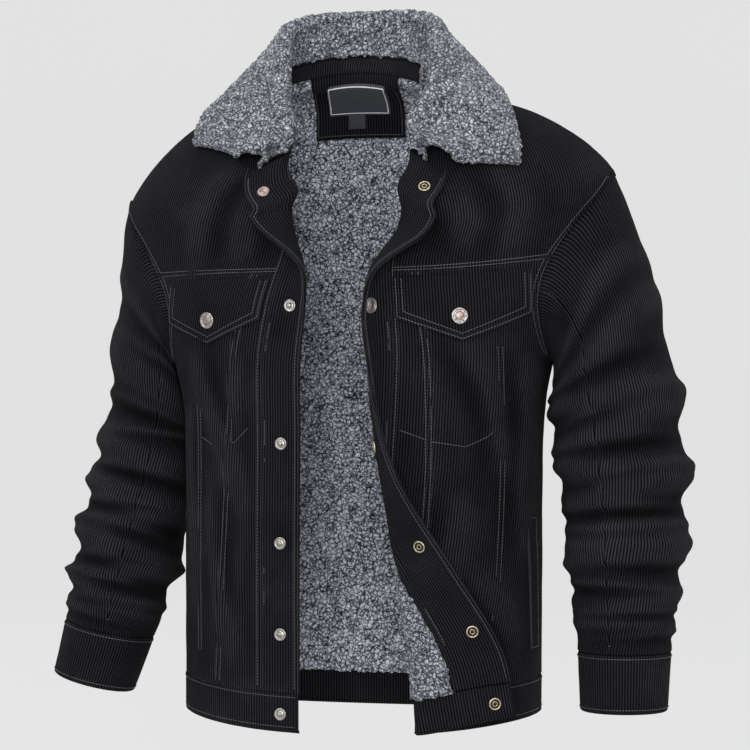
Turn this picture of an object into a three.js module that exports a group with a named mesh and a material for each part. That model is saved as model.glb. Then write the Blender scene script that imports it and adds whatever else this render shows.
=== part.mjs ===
// A men's trucker-cut corduroy jacket with a sherpa lining and collar, worn open with nobody in it.
// Millimetres. +Z is up, the front faces -Y and the wearer's left is +X. The origin is the centre of
// the neck opening, level with the neck points of the shoulder seams, where a wearer carries it.
import * as THREE from 'three';

// Driving sizes
const clothThickness = 1.6;      // corduroy shell
const liningThickness = 5;       // sherpa pile and its backing
const bandThickness = 3.4;       // waistband and cuffs, two layers of corduroy
const bandOutside = 0.5;         // how far the waistband stands out past the panels above it
const seamGap = 0.3;             // between neighbouring pieces
const placketWidth = 42;
const facingWidth = 58;
const waistbandTop = 0.052;      // share of the torso's height scale
const underarm = 0.5;            // torso height scale: hem 0, underarm 0.5, shoulder point 0.8, neck 1
const shoulderPoint = 0.8;
const armholeFront = 33;         // degrees of the torso's section, either side of the side seam
const armholeBack = 30;
const snapRadius = 6.4;
const capRadius = 8.6;

// Sections of the torso: height scale t, height of the side z, half width, front and back depth,
// centre, how far the front and back hang below or above the side, how far the lower right side
// hangs below the left one, and squareness.
const torso = [
  { t: 0.00, z: -648, half: 187, front: 118, back: 120, x: 9, y: 15,
    dropFront: -14, dropBack: -10, lean: 0, square: 2.3 },
  { t: 0.20, z: -500, half: 188, front: 120, back: 119, x: 9, y: 17,
    dropFront: -8, dropBack: -6, lean: 0, square: 2.3 },
  { t: 0.40, z: -350, half: 189, front: 124, back: 117, x: 9, y: 20,
    dropFront: -2, dropBack: 0, lean: 0, square: 2.3 },
  { t: 0.50, z: -285, half: 199, front: 126, back: 114, x: 9, y: 22,
    dropFront: -4, dropBack: 0, lean: -8, square: 2.3 },
  { t: 0.58, z: -235, half: 217, front: 126, back: 108, x: 10, y: 25,
    dropFront: -8, dropBack: 0, lean: -16, square: 2.3 },
  { t: 0.66, z: -185, half: 236, front: 124, back: 100, x: 11, y: 27,
    dropFront: -14, dropBack: 2, lean: -26, square: 2.25 },
  { t: 0.74, z: -130, half: 251, front: 121, back: 88, x: 12, y: 29,
    dropFront: -40, dropBack: 6, lean: -28, square: 2.2 },
  { t: 0.80, z: -86, half: 256, front: 118, back: 77, x: 13, y: 29,
    dropFront: -62, dropBack: 10, lean: -30, square: 2.15 },
  { t: 0.90, z: -30, half: 188, front: 104, back: 72, x: 7, y: 16,
    dropFront: -84, dropBack: 12, lean: -18, square: 2.1 },
  { t: 1.00, z: 0, half: 82, front: 84, back: 58, x: -3, y: 4,
    dropFront: -100, dropBack: 14, lean: 0, square: 2.0 },
];

// Each front: the height scale, the angle on the section where the edge starts to turn out, how far
// it turns, the radius of the roll, the length from there to the edge, how many more degrees the rest
// bends round the body, how far the edge falls below the start, the side seam's angle, and how far
// the edge is drawn aside.
const leftFront = [
  { t: 0.00, edge: 65, turn: 168, radius: 7, length: 116, wrap: 30, fall: 12, seam: 0, spread: 0 },
  { t: 0.10, edge: 66, turn: 164, radius: 7, length: 103, wrap: 26, fall: 8, seam: 0, spread: 0 },
  { t: 0.22, edge: 70, turn: 154, radius: 9, length: 76, wrap: 12, fall: 3, seam: 0, spread: 0 },
  { t: 0.36, edge: 74, turn: 128, radius: 15, length: 50, wrap: 2, fall: 0, seam: 0, spread: 0 },
  { t: 0.50, edge: 77, turn: 100, radius: 17, length: 38, wrap: 0, fall: 0, seam: 0, spread: 0 },
  { t: 0.60, edge: 80, turn: 94, radius: 17, length: 36, wrap: 0, fall: 0, seam: 0, spread: 0 },
  { t: 0.72, edge: 79, turn: 122, radius: 14, length: 46, wrap: 0, fall: -6, seam: 0, spread: 0 },
  { t: 0.86, edge: 72, turn: 146, radius: 9, length: 58, wrap: 6, fall: -26, seam: 0, spread: 2 },
  { t: 0.93, edge: 67, turn: 142, radius: 9, length: 59, wrap: 7, fall: -36, seam: 0, spread: 12 },
  { t: 1.00, edge: 50, turn: 136, radius: 9, length: 60, wrap: 8, fall: -50, seam: 0, spread: 32 },
];
const rightFront = [
  { t: 0.00, edge: 78, turn: 6, radius: 60, length: 8, wrap: 0, fall: 0, seam: -26, spread: 0 },
  { t: 0.10, edge: 78, turn: 6, radius: 60, length: 8, wrap: 0, fall: 0, seam: -22, spread: 0 },
  { t: 0.22, edge: 78, turn: 6, radius: 60, length: 8, wrap: 0, fall: 0, seam: -16, spread: 0 },
  { t: 0.36, edge: 78, turn: 8, radius: 50, length: 9, wrap: 0, fall: 0, seam: -8, spread: 0 },
  { t: 0.50, edge: 78, turn: 16, radius: 36, length: 12, wrap: 0, fall: 0, seam: 0, spread: 0 },
  { t: 0.60, edge: 79, turn: 40, radius: 24, length: 20, wrap: 0, fall: 0, seam: 0, spread: 0 },
  { t: 0.72, edge: 79, turn: 96, radius: 16, length: 38, wrap: 0, fall: -4, seam: 0, spread: 0 },
  { t: 0.86, edge: 75, turn: 142, radius: 10, length: 58, wrap: 4, fall: -20, seam: 0, spread: 0 },
  { t: 0.93, edge: 72, turn: 142, radius: 9, length: 59, wrap: 6, fall: -32, seam: 0, spread: 0 },
  { t: 1.00, edge: 52, turn: 140, radius: 9, length: 60, wrap: 8, fall: -44, seam: 0, spread: 0 },
];

// Sleeve rings, from the armhole to the wrist: centre, half widths across and deep, and how far the
// ring's outer side is tipped up.
const leftSleeve = [
  { s: 0, x: 244, y: 26, z: -187, wide: 100, deep: 72, tilt: 77 },
  { s: 1, x: 259, y: 28, z: -252, wide: 76, deep: 73, tilt: 48 },
  { s: 2, x: 270, y: 24, z: -318, wide: 68, deep: 68, tilt: 22 },
  { s: 3, x: 281, y: 18, z: -386, wide: 65, deep: 64, tilt: 8 },
  { s: 4, x: 287, y: 8, z: -454, wide: 61, deep: 60, tilt: 2 },
  { s: 5, x: 289, y: -4, z: -518, wide: 55, deep: 54, tilt: 0 },
  { s: 6, x: 290, y: -14, z: -574, wide: 48, deep: 48, tilt: 0 },
  { s: 7, x: 291, y: -24, z: -638, wide: 44, deep: 43, tilt: 0 },
];
const rightSleeve = [
  { s: 0, x: -222, y: 26, z: -200, wide: 92, deep: 72, tilt: 77 },
  { s: 1, x: -214, y: 60, z: -256, wide: 70, deep: 74, tilt: 46 },
  { s: 2, x: -220, y: 76, z: -320, wide: 62, deep: 70, tilt: 20 },
  { s: 3, x: -230, y: 68, z: -382, wide: 60, deep: 65, tilt: 8 },
  { s: 4, x: -242, y: 50, z: -442, wide: 58, deep: 60, tilt: 6 },
  { s: 5, x: -255, y: 28, z: -506, wide: 54, deep: 54, tilt: 8 },
  { s: 6, x: -264, y: 8, z: -564, wide: 48, deep: 48, tilt: 12 },
  { s: 7, x: -278, y: -8, z: -624, wide: 43, deep: 42, tilt: 14 },
];
const cuffStart = 6.08;

// Sleeve folds: distance down the sleeve in sections, height, spread, the side where it stands
// most (0 outer, 90 front, 180 inner), and how far it slants from that side to the other.
const leftFolds = [
  { at: 1.15, rise: 7, spread: 0.24, side: 20, slant: 0.45 },
  { at: 1.90, rise: 7, spread: 0.20, side: 150, slant: 0.30 },
  { at: 2.35, rise: 9, spread: 0.20, side: 10, slant: 0.25 },
  { at: 2.95, rise: 8, spread: 0.19, side: 170, slant: 0.30 },
  { at: 3.30, rise: 10, spread: 0.20, side: 10, slant: 0.20 },
  { at: 4.25, rise: 10, spread: 0.22, side: 30, slant: 0.05 },
  { at: 4.60, rise: 6, spread: 0.18, side: 190, slant: 0.10 },
  { at: 5.05, rise: 5, spread: 0.16, side: 0, slant: 0.15 },
  { at: 5.50, rise: 4, spread: 0.14, side: 100, slant: 0.20 },
];
const rightFolds = [
  { at: 1.70, rise: 8, spread: 0.28, side: 30, slant: 0.50 },
  { at: 2.95, rise: 8, spread: 0.18, side: 20, slant: 0.40 },
  { at: 3.60, rise: 10, spread: 0.20, side: 10, slant: 0.40 },
  { at: 4.05, rise: 6, spread: 0.18, side: 160, slant: 0.20 },
  { at: 4.45, rise: 10, spread: 0.20, side: 20, slant: 0.50 },
  { at: 4.95, rise: 7, spread: 0.16, side: 150, slant: 0.20 },
  { at: 5.25, rise: 6, spread: 0.15, side: 10, slant: 0.35 },
  { at: 5.65, rise: 4, spread: 0.13, side: 80, slant: 0.25 },
];

// Each half of the collar from the centre back, share 0, to its front end, share 1: the top of the
// roll, and where the edge of the fall lies on the body, with its height above it.
const leftCollar = [
  { share: 0.0, rollX: -2, rollY: 76, rollZ: 80, angle: -90, t: 0.930, lift: 12 },
  { share: 0.2, rollX: 46, rollY: 66, rollZ: 78, angle: -60, t: 0.930, lift: 12 },
  { share: 0.4, rollX: 76, rollY: 36, rollZ: 68, angle: -25, t: 0.932, lift: 10 },
  { share: 0.5, rollX: 84, rollY: 14, rollZ: 54, angle: -4, t: 0.935, lift: 9 },
  { share: 0.6, rollX: 87, rollY: -12, rollZ: 28, angle: 10, t: 0.925, lift: 8 },
  { share: 0.7, rollX: 90, rollY: -38, rollZ: -10, angle: 24, t: 0.900, lift: 8 },
  { share: 0.8, rollX: 77, rollY: -56, rollZ: -51, angle: 34, t: 0.870, lift: 8 },
  { share: 1.0, rollX: 92, rollY: -72, rollZ: -80, angle: 40, t: 0.850, lift: 8 },
];
const rightCollar = [
  { share: 0.0, rollX: -2, rollY: 76, rollZ: 80, angle: -90, t: 0.930, lift: 12 },
  { share: 0.2, rollX: -46, rollY: 66, rollZ: 78, angle: -60, t: 0.930, lift: 12 },
  { share: 0.4, rollX: -68, rollY: 38, rollZ: 68, angle: -25, t: 0.930, lift: 10 },
  { share: 0.5, rollX: -70, rollY: 16, rollZ: 52, angle: -4, t: 0.935, lift: 9 },
  { share: 0.6, rollX: -66, rollY: -10, rollZ: 22, angle: 8, t: 0.930, lift: 8 },
  { share: 0.7, rollX: -60, rollY: -36, rollZ: -16, angle: 17, t: 0.920, lift: 8 },
  { share: 0.8, rollX: -50, rollY: -58, rollZ: -54, angle: 24, t: 0.910, lift: 8 },
  { share: 1.0, rollX: -80, rollY: -72, rollZ: -80, angle: 30, t: 0.900, lift: 8 },
];
const collarSeamEnd = 0.8;       // share where the neck seam reaches the lapel
const lapelReach = { left: 26, right: 10 };   // distance of the collar's end from the lapel's tip

const degrees = Math.PI / 180;
const clamp = (v, low, high) => Math.min(high, Math.max(low, v));
const smooth = (v) => { const k = clamp(v, 0, 1); return k * k * (3 - 2 * k); };
const mix = (a, b, k) => a + (b - a) * k;

// Smooth reading of one column of a table at a value of its first column.
function read(table, key, name, at) {
  const v = clamp(at, table[0][key], table[table.length - 1][key]);
  let i = 0;
  while (i < table.length - 2 && v > table[i + 1][key]) i++;
  const slope = (j) => {
    const a = table[Math.max(0, j - 1)];
    const b = table[Math.min(table.length - 1, j + 1)];
    return (b[name] - a[name]) / (b[key] - a[key]);
  };
  const [low, high] = [table[i], table[i + 1]];
  const gap = high[key] - low[key];
  const k = (v - low[key]) / gap;
  const k2 = k * k;
  const k3 = k2 * k;
  return (2 * k3 - 3 * k2 + 1) * low[name] + (k3 - 2 * k2 + k) * gap * slope(i)
    + (3 * k2 - 2 * k3) * high[name] + (k3 - k2) * gap * slope(i + 1);
}

const power = (v, n) => Math.sign(v) * Math.abs(v) ** n;

// A point of the torso. Angle 0 is the side, 90 the centre front and -90 the centre back; hand is
// 1 for the wearer's left half and -1 for the right.
function torsoPoint(hand, angle, t) {
  const get = (name) => read(torso, 't', name, t);
  const [c, s] = [Math.cos(angle * degrees), Math.sin(angle * degrees)];
  const n = 2 / get('square');
  const front = s > 0;
  return new THREE.Vector3(
    get('x') + hand * get('half') * power(c, n),
    get('y') - get(front ? 'front' : 'back') * power(s, n),
    get('z') + get(front ? 'dropFront' : 'dropBack') * s * s + (hand < 0 ? get('lean') * c * c : 0),
  );
}

// How far the armhole opens at this height, in degrees of the section.
function armholeAngle(t, widest) {
  const k = (t - underarm) / (shoulderPoint - underarm);
  return k <= 0 || k >= 1 ? 0 : widest * Math.sin(Math.PI * k) ** 0.62;
}

// One row of a front, from the side seam, armhole or shoulder seam to the turned-out front edge,
// with the distance of each point from the edge.
const rowSteps = 44;
const extraSteps = 8;
const extraTurn = 14;           // how far a row goes on past its seam, for the normals there
const rollSteps = 60;
const rows = new Map();
function frontRow(hand, t) {
  const name = hand + ':' + t.toFixed(6);
  if (rows.has(name)) return rows.get(name);
  const table = hand > 0 ? leftFront : rightFront;
  const get = (column) => read(table, 't', column, t);
  const seam = t < underarm ? get('seam') : armholeAngle(t, armholeFront);
  const edge = get('edge');
  const points = [];
  for (let i = -extraSteps; i < 0; i++) points.push(torsoPoint(hand, seam + extraTurn * i / extraSteps, t));
  for (let i = 0; i <= rowSteps; i++) {
    const point = torsoPoint(hand, mix(seam, edge, i / rowSteps), t);
    points.push(point.setX(point.x + hand * get('spread') * smooth(i / rowSteps)));
  }
  const start = points[points.length - 1].clone();
  const along = start.clone().sub(points[points.length - 2]).normalize();
  const out = new THREE.Vector3(-along.y * hand, along.x * hand, 0).normalize();
  if (out.y > 0) out.negate();
  const [turn, radius, length] = [get('turn') * degrees, get('radius'), get('length')];
  const arc = Math.min(length, radius * turn);
  const bend = get('wrap') * degrees / Math.max(1, length - arc);
  const place = start.clone();
  const step = length / rollSteps;
  for (let i = 1; i <= rollSteps; i++) {
    const run = (i - 0.5) * step;
    const a = Math.min(run, arc) / radius + Math.max(0, run - arc) * bend;
    place.addScaledVector(along, step * Math.cos(a)).addScaledVector(out, step * Math.sin(a));
    points.push(place.clone().setZ(place.z + get('fall') * smooth(i / rollSteps)));
  }
  const distance = [0];
  for (let i = points.length - 1; i > 0; i--) {
    distance.push(distance[distance.length - 1] + points[i].distanceTo(points[i - 1]));
  }
  points.reverse();
  const row = { points, distance, total: distance[rollSteps + rowSteps], length, radius, arc };
  rows.set(name, row);
  return row;
}

// A point of a front at distance q from its edge.
function frontPoint(hand, q, t) {
  const { points, distance } = frontRow(hand, t);
  let i = 0;
  while (i < points.length - 2 && q > distance[i + 1]) i++;
  const k = (q - distance[i]) / (distance[i + 1] - distance[i]);
  return points[i].clone().lerp(points[i + 1], k);
}

// Turns a surface of two variables into one that also gives the outward side.
function withNormal(surface, stepU, stepV, sign) {
  return (u, v) => {
    const point = surface(u, v);
    const du = surface(u + stepU, v).sub(surface(u - stepU, v));
    const dv = surface(u, v + stepV).sub(surface(u, v - stepV));
    return { point, normal: du.cross(dv).normalize().multiplyScalar(sign) };
  };
}

const nudge = 0.002;
const nudgeAcross = 1.5;
function frontSurface(hand) {
  return withNormal((q, t) => frontPoint(hand, q, clamp(t, 0, 1)), nudgeAcross, nudge, hand);
}

// The back: share runs from the right side (-1) through the centre back (0) to the left side (1).
function backPoint(share, t) {
  const hand = share < 0 ? -1 : 1;
  const table = hand > 0 ? leftFront : rightFront;
  const seam = t < underarm ? read(table, 't', 'seam', t) : -armholeAngle(t, armholeBack);
  return torsoPoint(hand, mix(-90, seam, Math.abs(share)), t);
}
const backSurface = withNormal((u, t) => backPoint(u, clamp(t, 0, 1)), 0.01, nudge, -1);

// A closed solid from a grid of outer and inner points; wrap joins the last column to the first.
function wall(outer, inner, wrap = false) {
  const [rowCount, columnCount] = [outer.length, outer[0].length];
  const positions = [];
  for (const p of [outer, inner].flat(2)) positions.push(p.x, p.y, p.z);
  const at = (side, r, c) => side * rowCount * columnCount + r * columnCount + (c % columnCount);
  const faces = [];
  const quad = (a, b, c, d) => faces.push(a, b, c, a, c, d);
  const columns = wrap ? columnCount : columnCount - 1;
  for (let r = 0; r < rowCount - 1; r++) {
    for (let c = 0; c < columns; c++) {
      quad(at(0, r, c), at(0, r, c + 1), at(0, r + 1, c + 1), at(0, r + 1, c));
      quad(at(1, r, c), at(1, r + 1, c), at(1, r + 1, c + 1), at(1, r, c + 1));
    }
  }
  for (let c = 0; c < columns; c++) {
    const top = rowCount - 1;
    quad(at(0, 0, c), at(1, 0, c), at(1, 0, c + 1), at(0, 0, c + 1));
    quad(at(0, top, c), at(0, top, c + 1), at(1, top, c + 1), at(1, top, c));
  }
  if (!wrap) {
    for (let r = 0; r < rowCount - 1; r++) {
      const last = columnCount - 1;
      quad(at(0, r, 0), at(0, r + 1, 0), at(1, r + 1, 0), at(1, r, 0));
      quad(at(0, r, last), at(1, r, last), at(1, r + 1, last), at(0, r + 1, last));
    }
  }
  const geometry = new THREE.BufferGeometry();
  geometry.setAttribute('position', new THREE.Float32BufferAttribute(positions, 3));
  geometry.setIndex(faces);
  return volume(geometry) < 0 ? flipped(geometry) : geometry;
}

function volume(geometry) {
  const p = geometry.getAttribute('position');
  const index = geometry.getIndex().array;
  const [a, b, c] = [new THREE.Vector3(), new THREE.Vector3(), new THREE.Vector3()];
  let sum = 0;
  for (let i = 0; i < index.length; i += 3) {
    a.fromBufferAttribute(p, index[i]);
    b.fromBufferAttribute(p, index[i + 1]);
    c.fromBufferAttribute(p, index[i + 2]);
    sum += a.dot(b.cross(c)) / 6;
  }
  return sum;
}

function flipped(geometry) {
  const index = Array.from(geometry.getIndex().array);
  for (let i = 0; i < index.length; i += 3) [index[i + 1], index[i + 2]] = [index[i + 2], index[i + 1]];
  geometry.setIndex(index);
  return geometry;
}

// A panel of a surface: its rows in v, its columns in u on each row, and the layer it fills, from
// `outside` (distance out from the surface) inwards by `thickness`.
function panel(surface, vRows, columnsAt, { outside = 0, thickness = clothThickness } = {}) {
  const [outer, inner] = [[], []];
  for (const v of vRows) {
    const spots = columnsAt(v).map((u) => surface(u, v));
    outer.push(spots.map(({ point, normal }) => point.clone().addScaledVector(normal, outside)));
    inner.push(spots.map(({ point, normal }) => point.clone().addScaledVector(normal, outside - thickness)));
  }
  return wall(outer, inner);
}

const evenly = (count, low, high) => Array.from({ length: count + 1 }, (_, i) => mix(low, high, i / count));

// Rows that every piece of the torso shares, so that neighbours meet edge to edge.
const armholeRows = 9;
const armholeRow = (j) =>
  underarm + (shoulderPoint - underarm) * (1 - Math.cos(Math.PI * j / armholeRows)) / 2;
const torsoRows = [
  ...evenly(7, waistbandTop, underarm),
  ...Array.from({ length: armholeRows }, (_, i) => armholeRow(i + 1)),
  0.88, 0.95, 1,
];
const frontYokeSeam = armholeRow(5);
const backYokeSeam = armholeRow(6);
const tGap = 0.00025;            // half a seam's gap on the torso's height scale
function rowsBetween(low, high) {
  const inside = torsoRows.filter((t) => t > low + 0.001 && t < high - 0.001);
  return [low + tGap, ...inside, Math.min(1, high === 1 ? 1 : high - tGap)];
}

// The seam between the centre and side panels leans in towards the waist. Above the yoke seam the
// same share of the row goes on as a guide for the columns.
const halfGap = seamGap / 2;
const sidePanelSeam = [
  { t: 0, from: 104 },
  { t: 0.3, from: 90 },
  { t: 0.7, from: 72 },
];
const rowTotal = (hand, t) => frontRow(hand, clamp(t, 0, 1)).total;
function sideSeam(hand, t) {
  const low = Math.min(t, frontYokeSeam);
  const seam = read(sidePanelSeam, 't', 'from', low);
  const share = (seam - facingWidth) / (rowTotal(hand, low) - facingWidth);
  return facingWidth + share * (rowTotal(hand, t) - facingWidth);
}

// Columns of a front on one row, closer together where the cloth turns: placket, the rest of the
// facing, centre panel and side panel.
const columnCounts = { left: [4, 3, 5, 8], right: [4, 3, 3, 5] };
const rollWeight = 34;
function frontColumns(hand, t) {
  const { length, radius, arc, total } = frontRow(hand, clamp(t, 0, 1));
  const breaks = [0, placketWidth, facingWidth, sideSeam(hand, t), total];
  const density = (q) => 1 + (q > length - arc && q < length ? rollWeight / radius : 0);
  const columns = [0];
  columnCounts[hand > 0 ? 'left' : 'right'].forEach((count, i) => {
    const [low, high] = [breaks[i], breaks[i + 1]];
    const fine = 60;
    const sums = [0];
    for (let k = 0; k < fine; k++) sums.push(sums[k] + density(mix(low, high, (k + 0.5) / fine)));
    for (let c = 1; c <= count; c++) {
      const want = sums[fine] * c / count;
      let k = 0;
      while (k < fine - 1 && sums[k + 1] < want) k++;
      columns.push(mix(low, high, (k + (want - sums[k]) / (sums[k + 1] - sums[k])) / fine));
    }
  });
  return columns;
}

// Part of a front's columns, from the seam numbered `first` to the one numbered `last`.
function frontStretch(hand, first, last, startGap = halfGap, endGap = halfGap) {
  const counts = columnCounts[hand > 0 ? 'left' : 'right'];
  const index = (n) => counts.slice(0, n).reduce((a, b) => a + b, 0);
  return (t) => {
    const columns = frontColumns(hand, t).slice(index(first), index(last) + 1);
    columns[0] += first ? startGap : 0;
    columns[columns.length - 1] -= endGap;
    return columns;
  };
}

const root = new THREE.Group();
const finishes = {
  corduroy: new THREE.MeshStandardMaterial({ color: 0x1d1c1e, roughness: 0.92 }),
  sherpa: new THREE.MeshStandardMaterial({ color: 0x7c7f88, roughness: 1 }),
  label: new THREE.MeshStandardMaterial({ color: 0x23262e, roughness: 0.6 }),
  silver: new THREE.MeshStandardMaterial({ color: 0xb9b6ae, roughness: 0.35, metalness: 1 }),
  brass: new THREE.MeshStandardMaterial({ color: 0xb29a68, roughness: 0.35, metalness: 1 }),
  copper: new THREE.MeshStandardMaterial({ color: 0xb08a72, roughness: 0.4, metalness: 1 }),
};
function add(name, geometry, finish) {
  const mesh = new THREE.Mesh(geometry, finishes[finish].clone());
  mesh.name = name;
  root.add(mesh);
  return mesh;
}

const layerGap = 0.8;            // between the shell and what lines it
const behindShell = -clothThickness - layerGap;
const bandRows = [0, waistbandTop / 2, waistbandTop - tGap];
const bandLayer = { outside: bandOutside, thickness: bandThickness };
const sides = [{ hand: 1, name: 'left' }, { hand: -1, name: 'right' }];

// Fronts: placket, centre panel, side panel, yoke and waistband, with facing and lining behind.
function addFront(hand, name) {
  const surface = frontSurface(hand);
  const fullHeight = rowsBetween(waistbandTop, 1);
  const belowYoke = rowsBetween(waistbandTop, frontYokeSeam);
  add('placket_' + name, panel(surface, fullHeight, frontStretch(hand, 0, 1)), 'corduroy');
  add('front_centre_' + name, panel(surface, belowYoke, frontStretch(hand, 1, 3)), 'corduroy');
  add('front_side_' + name, panel(surface, belowYoke, frontStretch(hand, 3, 4)), 'corduroy');
  const aboveSeam = rowsBetween(frontYokeSeam, 1);
  add('front_yoke_' + name, panel(surface, aboveSeam, frontStretch(hand, 1, 4)), 'corduroy');
  add('waistband_' + name, panel(surface, bandRows, frontStretch(hand, 0, 4), bandLayer), 'corduroy');
  const facingColumns = frontStretch(hand, 0, 2);
  add('facing_' + name, panel(surface, fullHeight, facingColumns, { outside: behindShell }), 'corduroy');
  add('lining_' + name, panel(surface, rowsBetween(waistbandTop, 1), frontStretch(hand, 2, 4, 1.2, seamGap),
    { outside: behindShell - 0.5, thickness: liningThickness }), 'sherpa');
}
for (const { hand, name } of sides) addFront(hand, name);

// Back: panel, yoke, waistband and lining.
const backColumns = (gap) => () => evenly(12, -1 + gap, 1 - gap);
const shareGap = 0.0006;
const liningShareGap = 0.002;
function addBack() {
  const columns = backColumns(shareGap);
  add('back_panel', panel(backSurface, rowsBetween(waistbandTop, backYokeSeam), columns), 'corduroy');
  add('back_yoke', panel(backSurface, rowsBetween(backYokeSeam, 1), columns), 'corduroy');
  add('waistband_back', panel(backSurface, bandRows, columns, bandLayer), 'corduroy');
  add('lining_back', panel(backSurface, rowsBetween(waistbandTop, 1),
    backColumns(liningShareGap), { outside: behindShell, thickness: liningThickness }), 'sherpa');
}
addBack();

// Sleeves: rings that start on the armhole's own outline and settle into the arm's line.
const headStretch = 1.15;
const seamStandOff = 1.1;
const crownStandOff = 3.3;       // more of it at the top of the armhole, where the sleeve turns down
function armholePoint(hand, around) {
  const t = underarm + (shoulderPoint - underarm) * (1 + Math.cos(around * degrees)) / 2;
  const front = Math.sin(around * degrees) >= 0;
  return torsoPoint(hand, front ? armholeAngle(t, armholeFront) : -armholeAngle(t, armholeBack), t);
}
function foldHeight(folds, around, s) {
  let sum = 0;
  for (const fold of folds) {
    const turn = (around - fold.side) * degrees;
    const strength = (1 + Math.cos(turn)) / 2;
    const place = fold.at + fold.slant * (1 - strength);
    const k = (s - place) / fold.spread;
    sum += fold.rise * (0.25 + 0.75 * strength) * (Math.exp(-k * k) - 0.45 * Math.exp(-((k - 1.7) ** 2)));
  }
  return sum;
}
// Moves a point that would lie in the body out to just clear of its side.
const clearance = 0.022;
const softness = 0.03;
function besideTorso(point) {
  const get = (name, t) => read(torso, 't', name, t);
  let [low, high] = [0, 0.7];
  for (let i = 0; i < 18; i++) {
    const t = (low + high) / 2;
    if (get('z', t) < point.z) low = t;
    else high = t;
  }
  const t = (low + high) / 2;
  const n = get('square', t);
  const [dx, dy] = [point.x - get('x', t), point.y - get('y', t)];
  const depth = get(dy < 0 ? 'front' : 'back', t);
  const reach = ((Math.abs(dx) / get('half', t)) ** n + (Math.abs(dy) / depth) ** n) ** (1 / n);
  const short = 1 + clearance - reach;
  const push = (short + Math.hypot(short, softness)) / 2 / Math.max(reach, 0.3);
  return new THREE.Vector3(point.x + dx * push, point.y + dy * push, point.z);
}
function sleevePoint(hand, around, s) {
  const table = hand > 0 ? leftSleeve : rightSleeve;
  const get = (name) => read(table, 's', name, s);
  const tilt = get('tilt') * degrees;
  const across = new THREE.Vector3(hand * Math.cos(tilt), 0, Math.sin(tilt));
  const forward = new THREE.Vector3(0, -1, 0);
  const [c, d] = [Math.cos(around * degrees), Math.sin(around * degrees)];
  const settle = smooth((s - 0.5) / 1.2);
  const nearCuff = smooth((cuffStart + 0.1 - s) / 0.5);
  const fold = foldHeight(hand > 0 ? leftFolds : rightFolds, around, s) * settle * nearCuff;
  const tube = new THREE.Vector3(get('x'), get('y'), get('z'))
    .addScaledVector(across, (get('wide') + fold) * c)
    .addScaledVector(forward, (get('deep') + fold) * d);
  const k = clamp(s / headStretch, 0, 1);
  const point = armholePoint(hand, around).lerp(tube, 1 - (1 - smooth(k)) ** 1.5);
  return point.lerp(besideTorso(point), smooth((s - 0.05) / 0.5));
}
function sleeveSurface(hand) {
  const surface = withNormal((around, s) => sleevePoint(hand, around, s), 2, 0.02, hand);
  return (around, s) => {
    const { point, normal } = surface(around, Math.max(s, 0.03));
    if (s > 0.001) return { point, normal };
    const start = armholePoint(hand, around);
    const run = sleevePoint(hand, around, 0.08).sub(start).normalize();
    const crown = ((1 + Math.cos(around * degrees)) / 2) ** 4;
    return { point: start.addScaledVector(run, seamStandOff + crownStandOff * crown), normal };
  };
}
const ringStep = 180 / armholeRows;
const seamTurn = 5 * ringStep;
const gapTurn = 0.16;
const sleeveRows = [0, 0.14, 0.32, 0.54, 0.78, ...evenly(16, 1.0, cuffStart - 0.003)];
function addSleeve(hand, name) {
  const surface = sleeveSurface(hand);
  const stretch = (low, high) => () => {
    const columns = evenly(Math.round((high - low) / ringStep), low, high);
    columns[0] += gapTurn;
    columns[columns.length - 1] -= gapTurn;
    return columns;
  };
  add('sleeve_top_' + name, panel(surface, sleeveRows, stretch(-seamTurn, seamTurn)), 'corduroy');
  add('sleeve_under_' + name, panel(surface, sleeveRows, stretch(seamTurn, 360 - seamTurn)), 'corduroy');
  const rings = evenly(3, cuffStart + 0.003, 7);
  const around = evenly(18, 0, 360).slice(0, 18);
  const layer = (depth) => rings.map((s) => around.map((a) => {
    const { point, normal } = surface(a, s);
    return point.addScaledVector(normal, depth);
  }));
  add('cuff_' + name, wall(layer(0.6), layer(0.6 - bandThickness), true), 'corduroy');
}
for (const { hand, name } of sides) addSleeve(hand, name);

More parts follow.
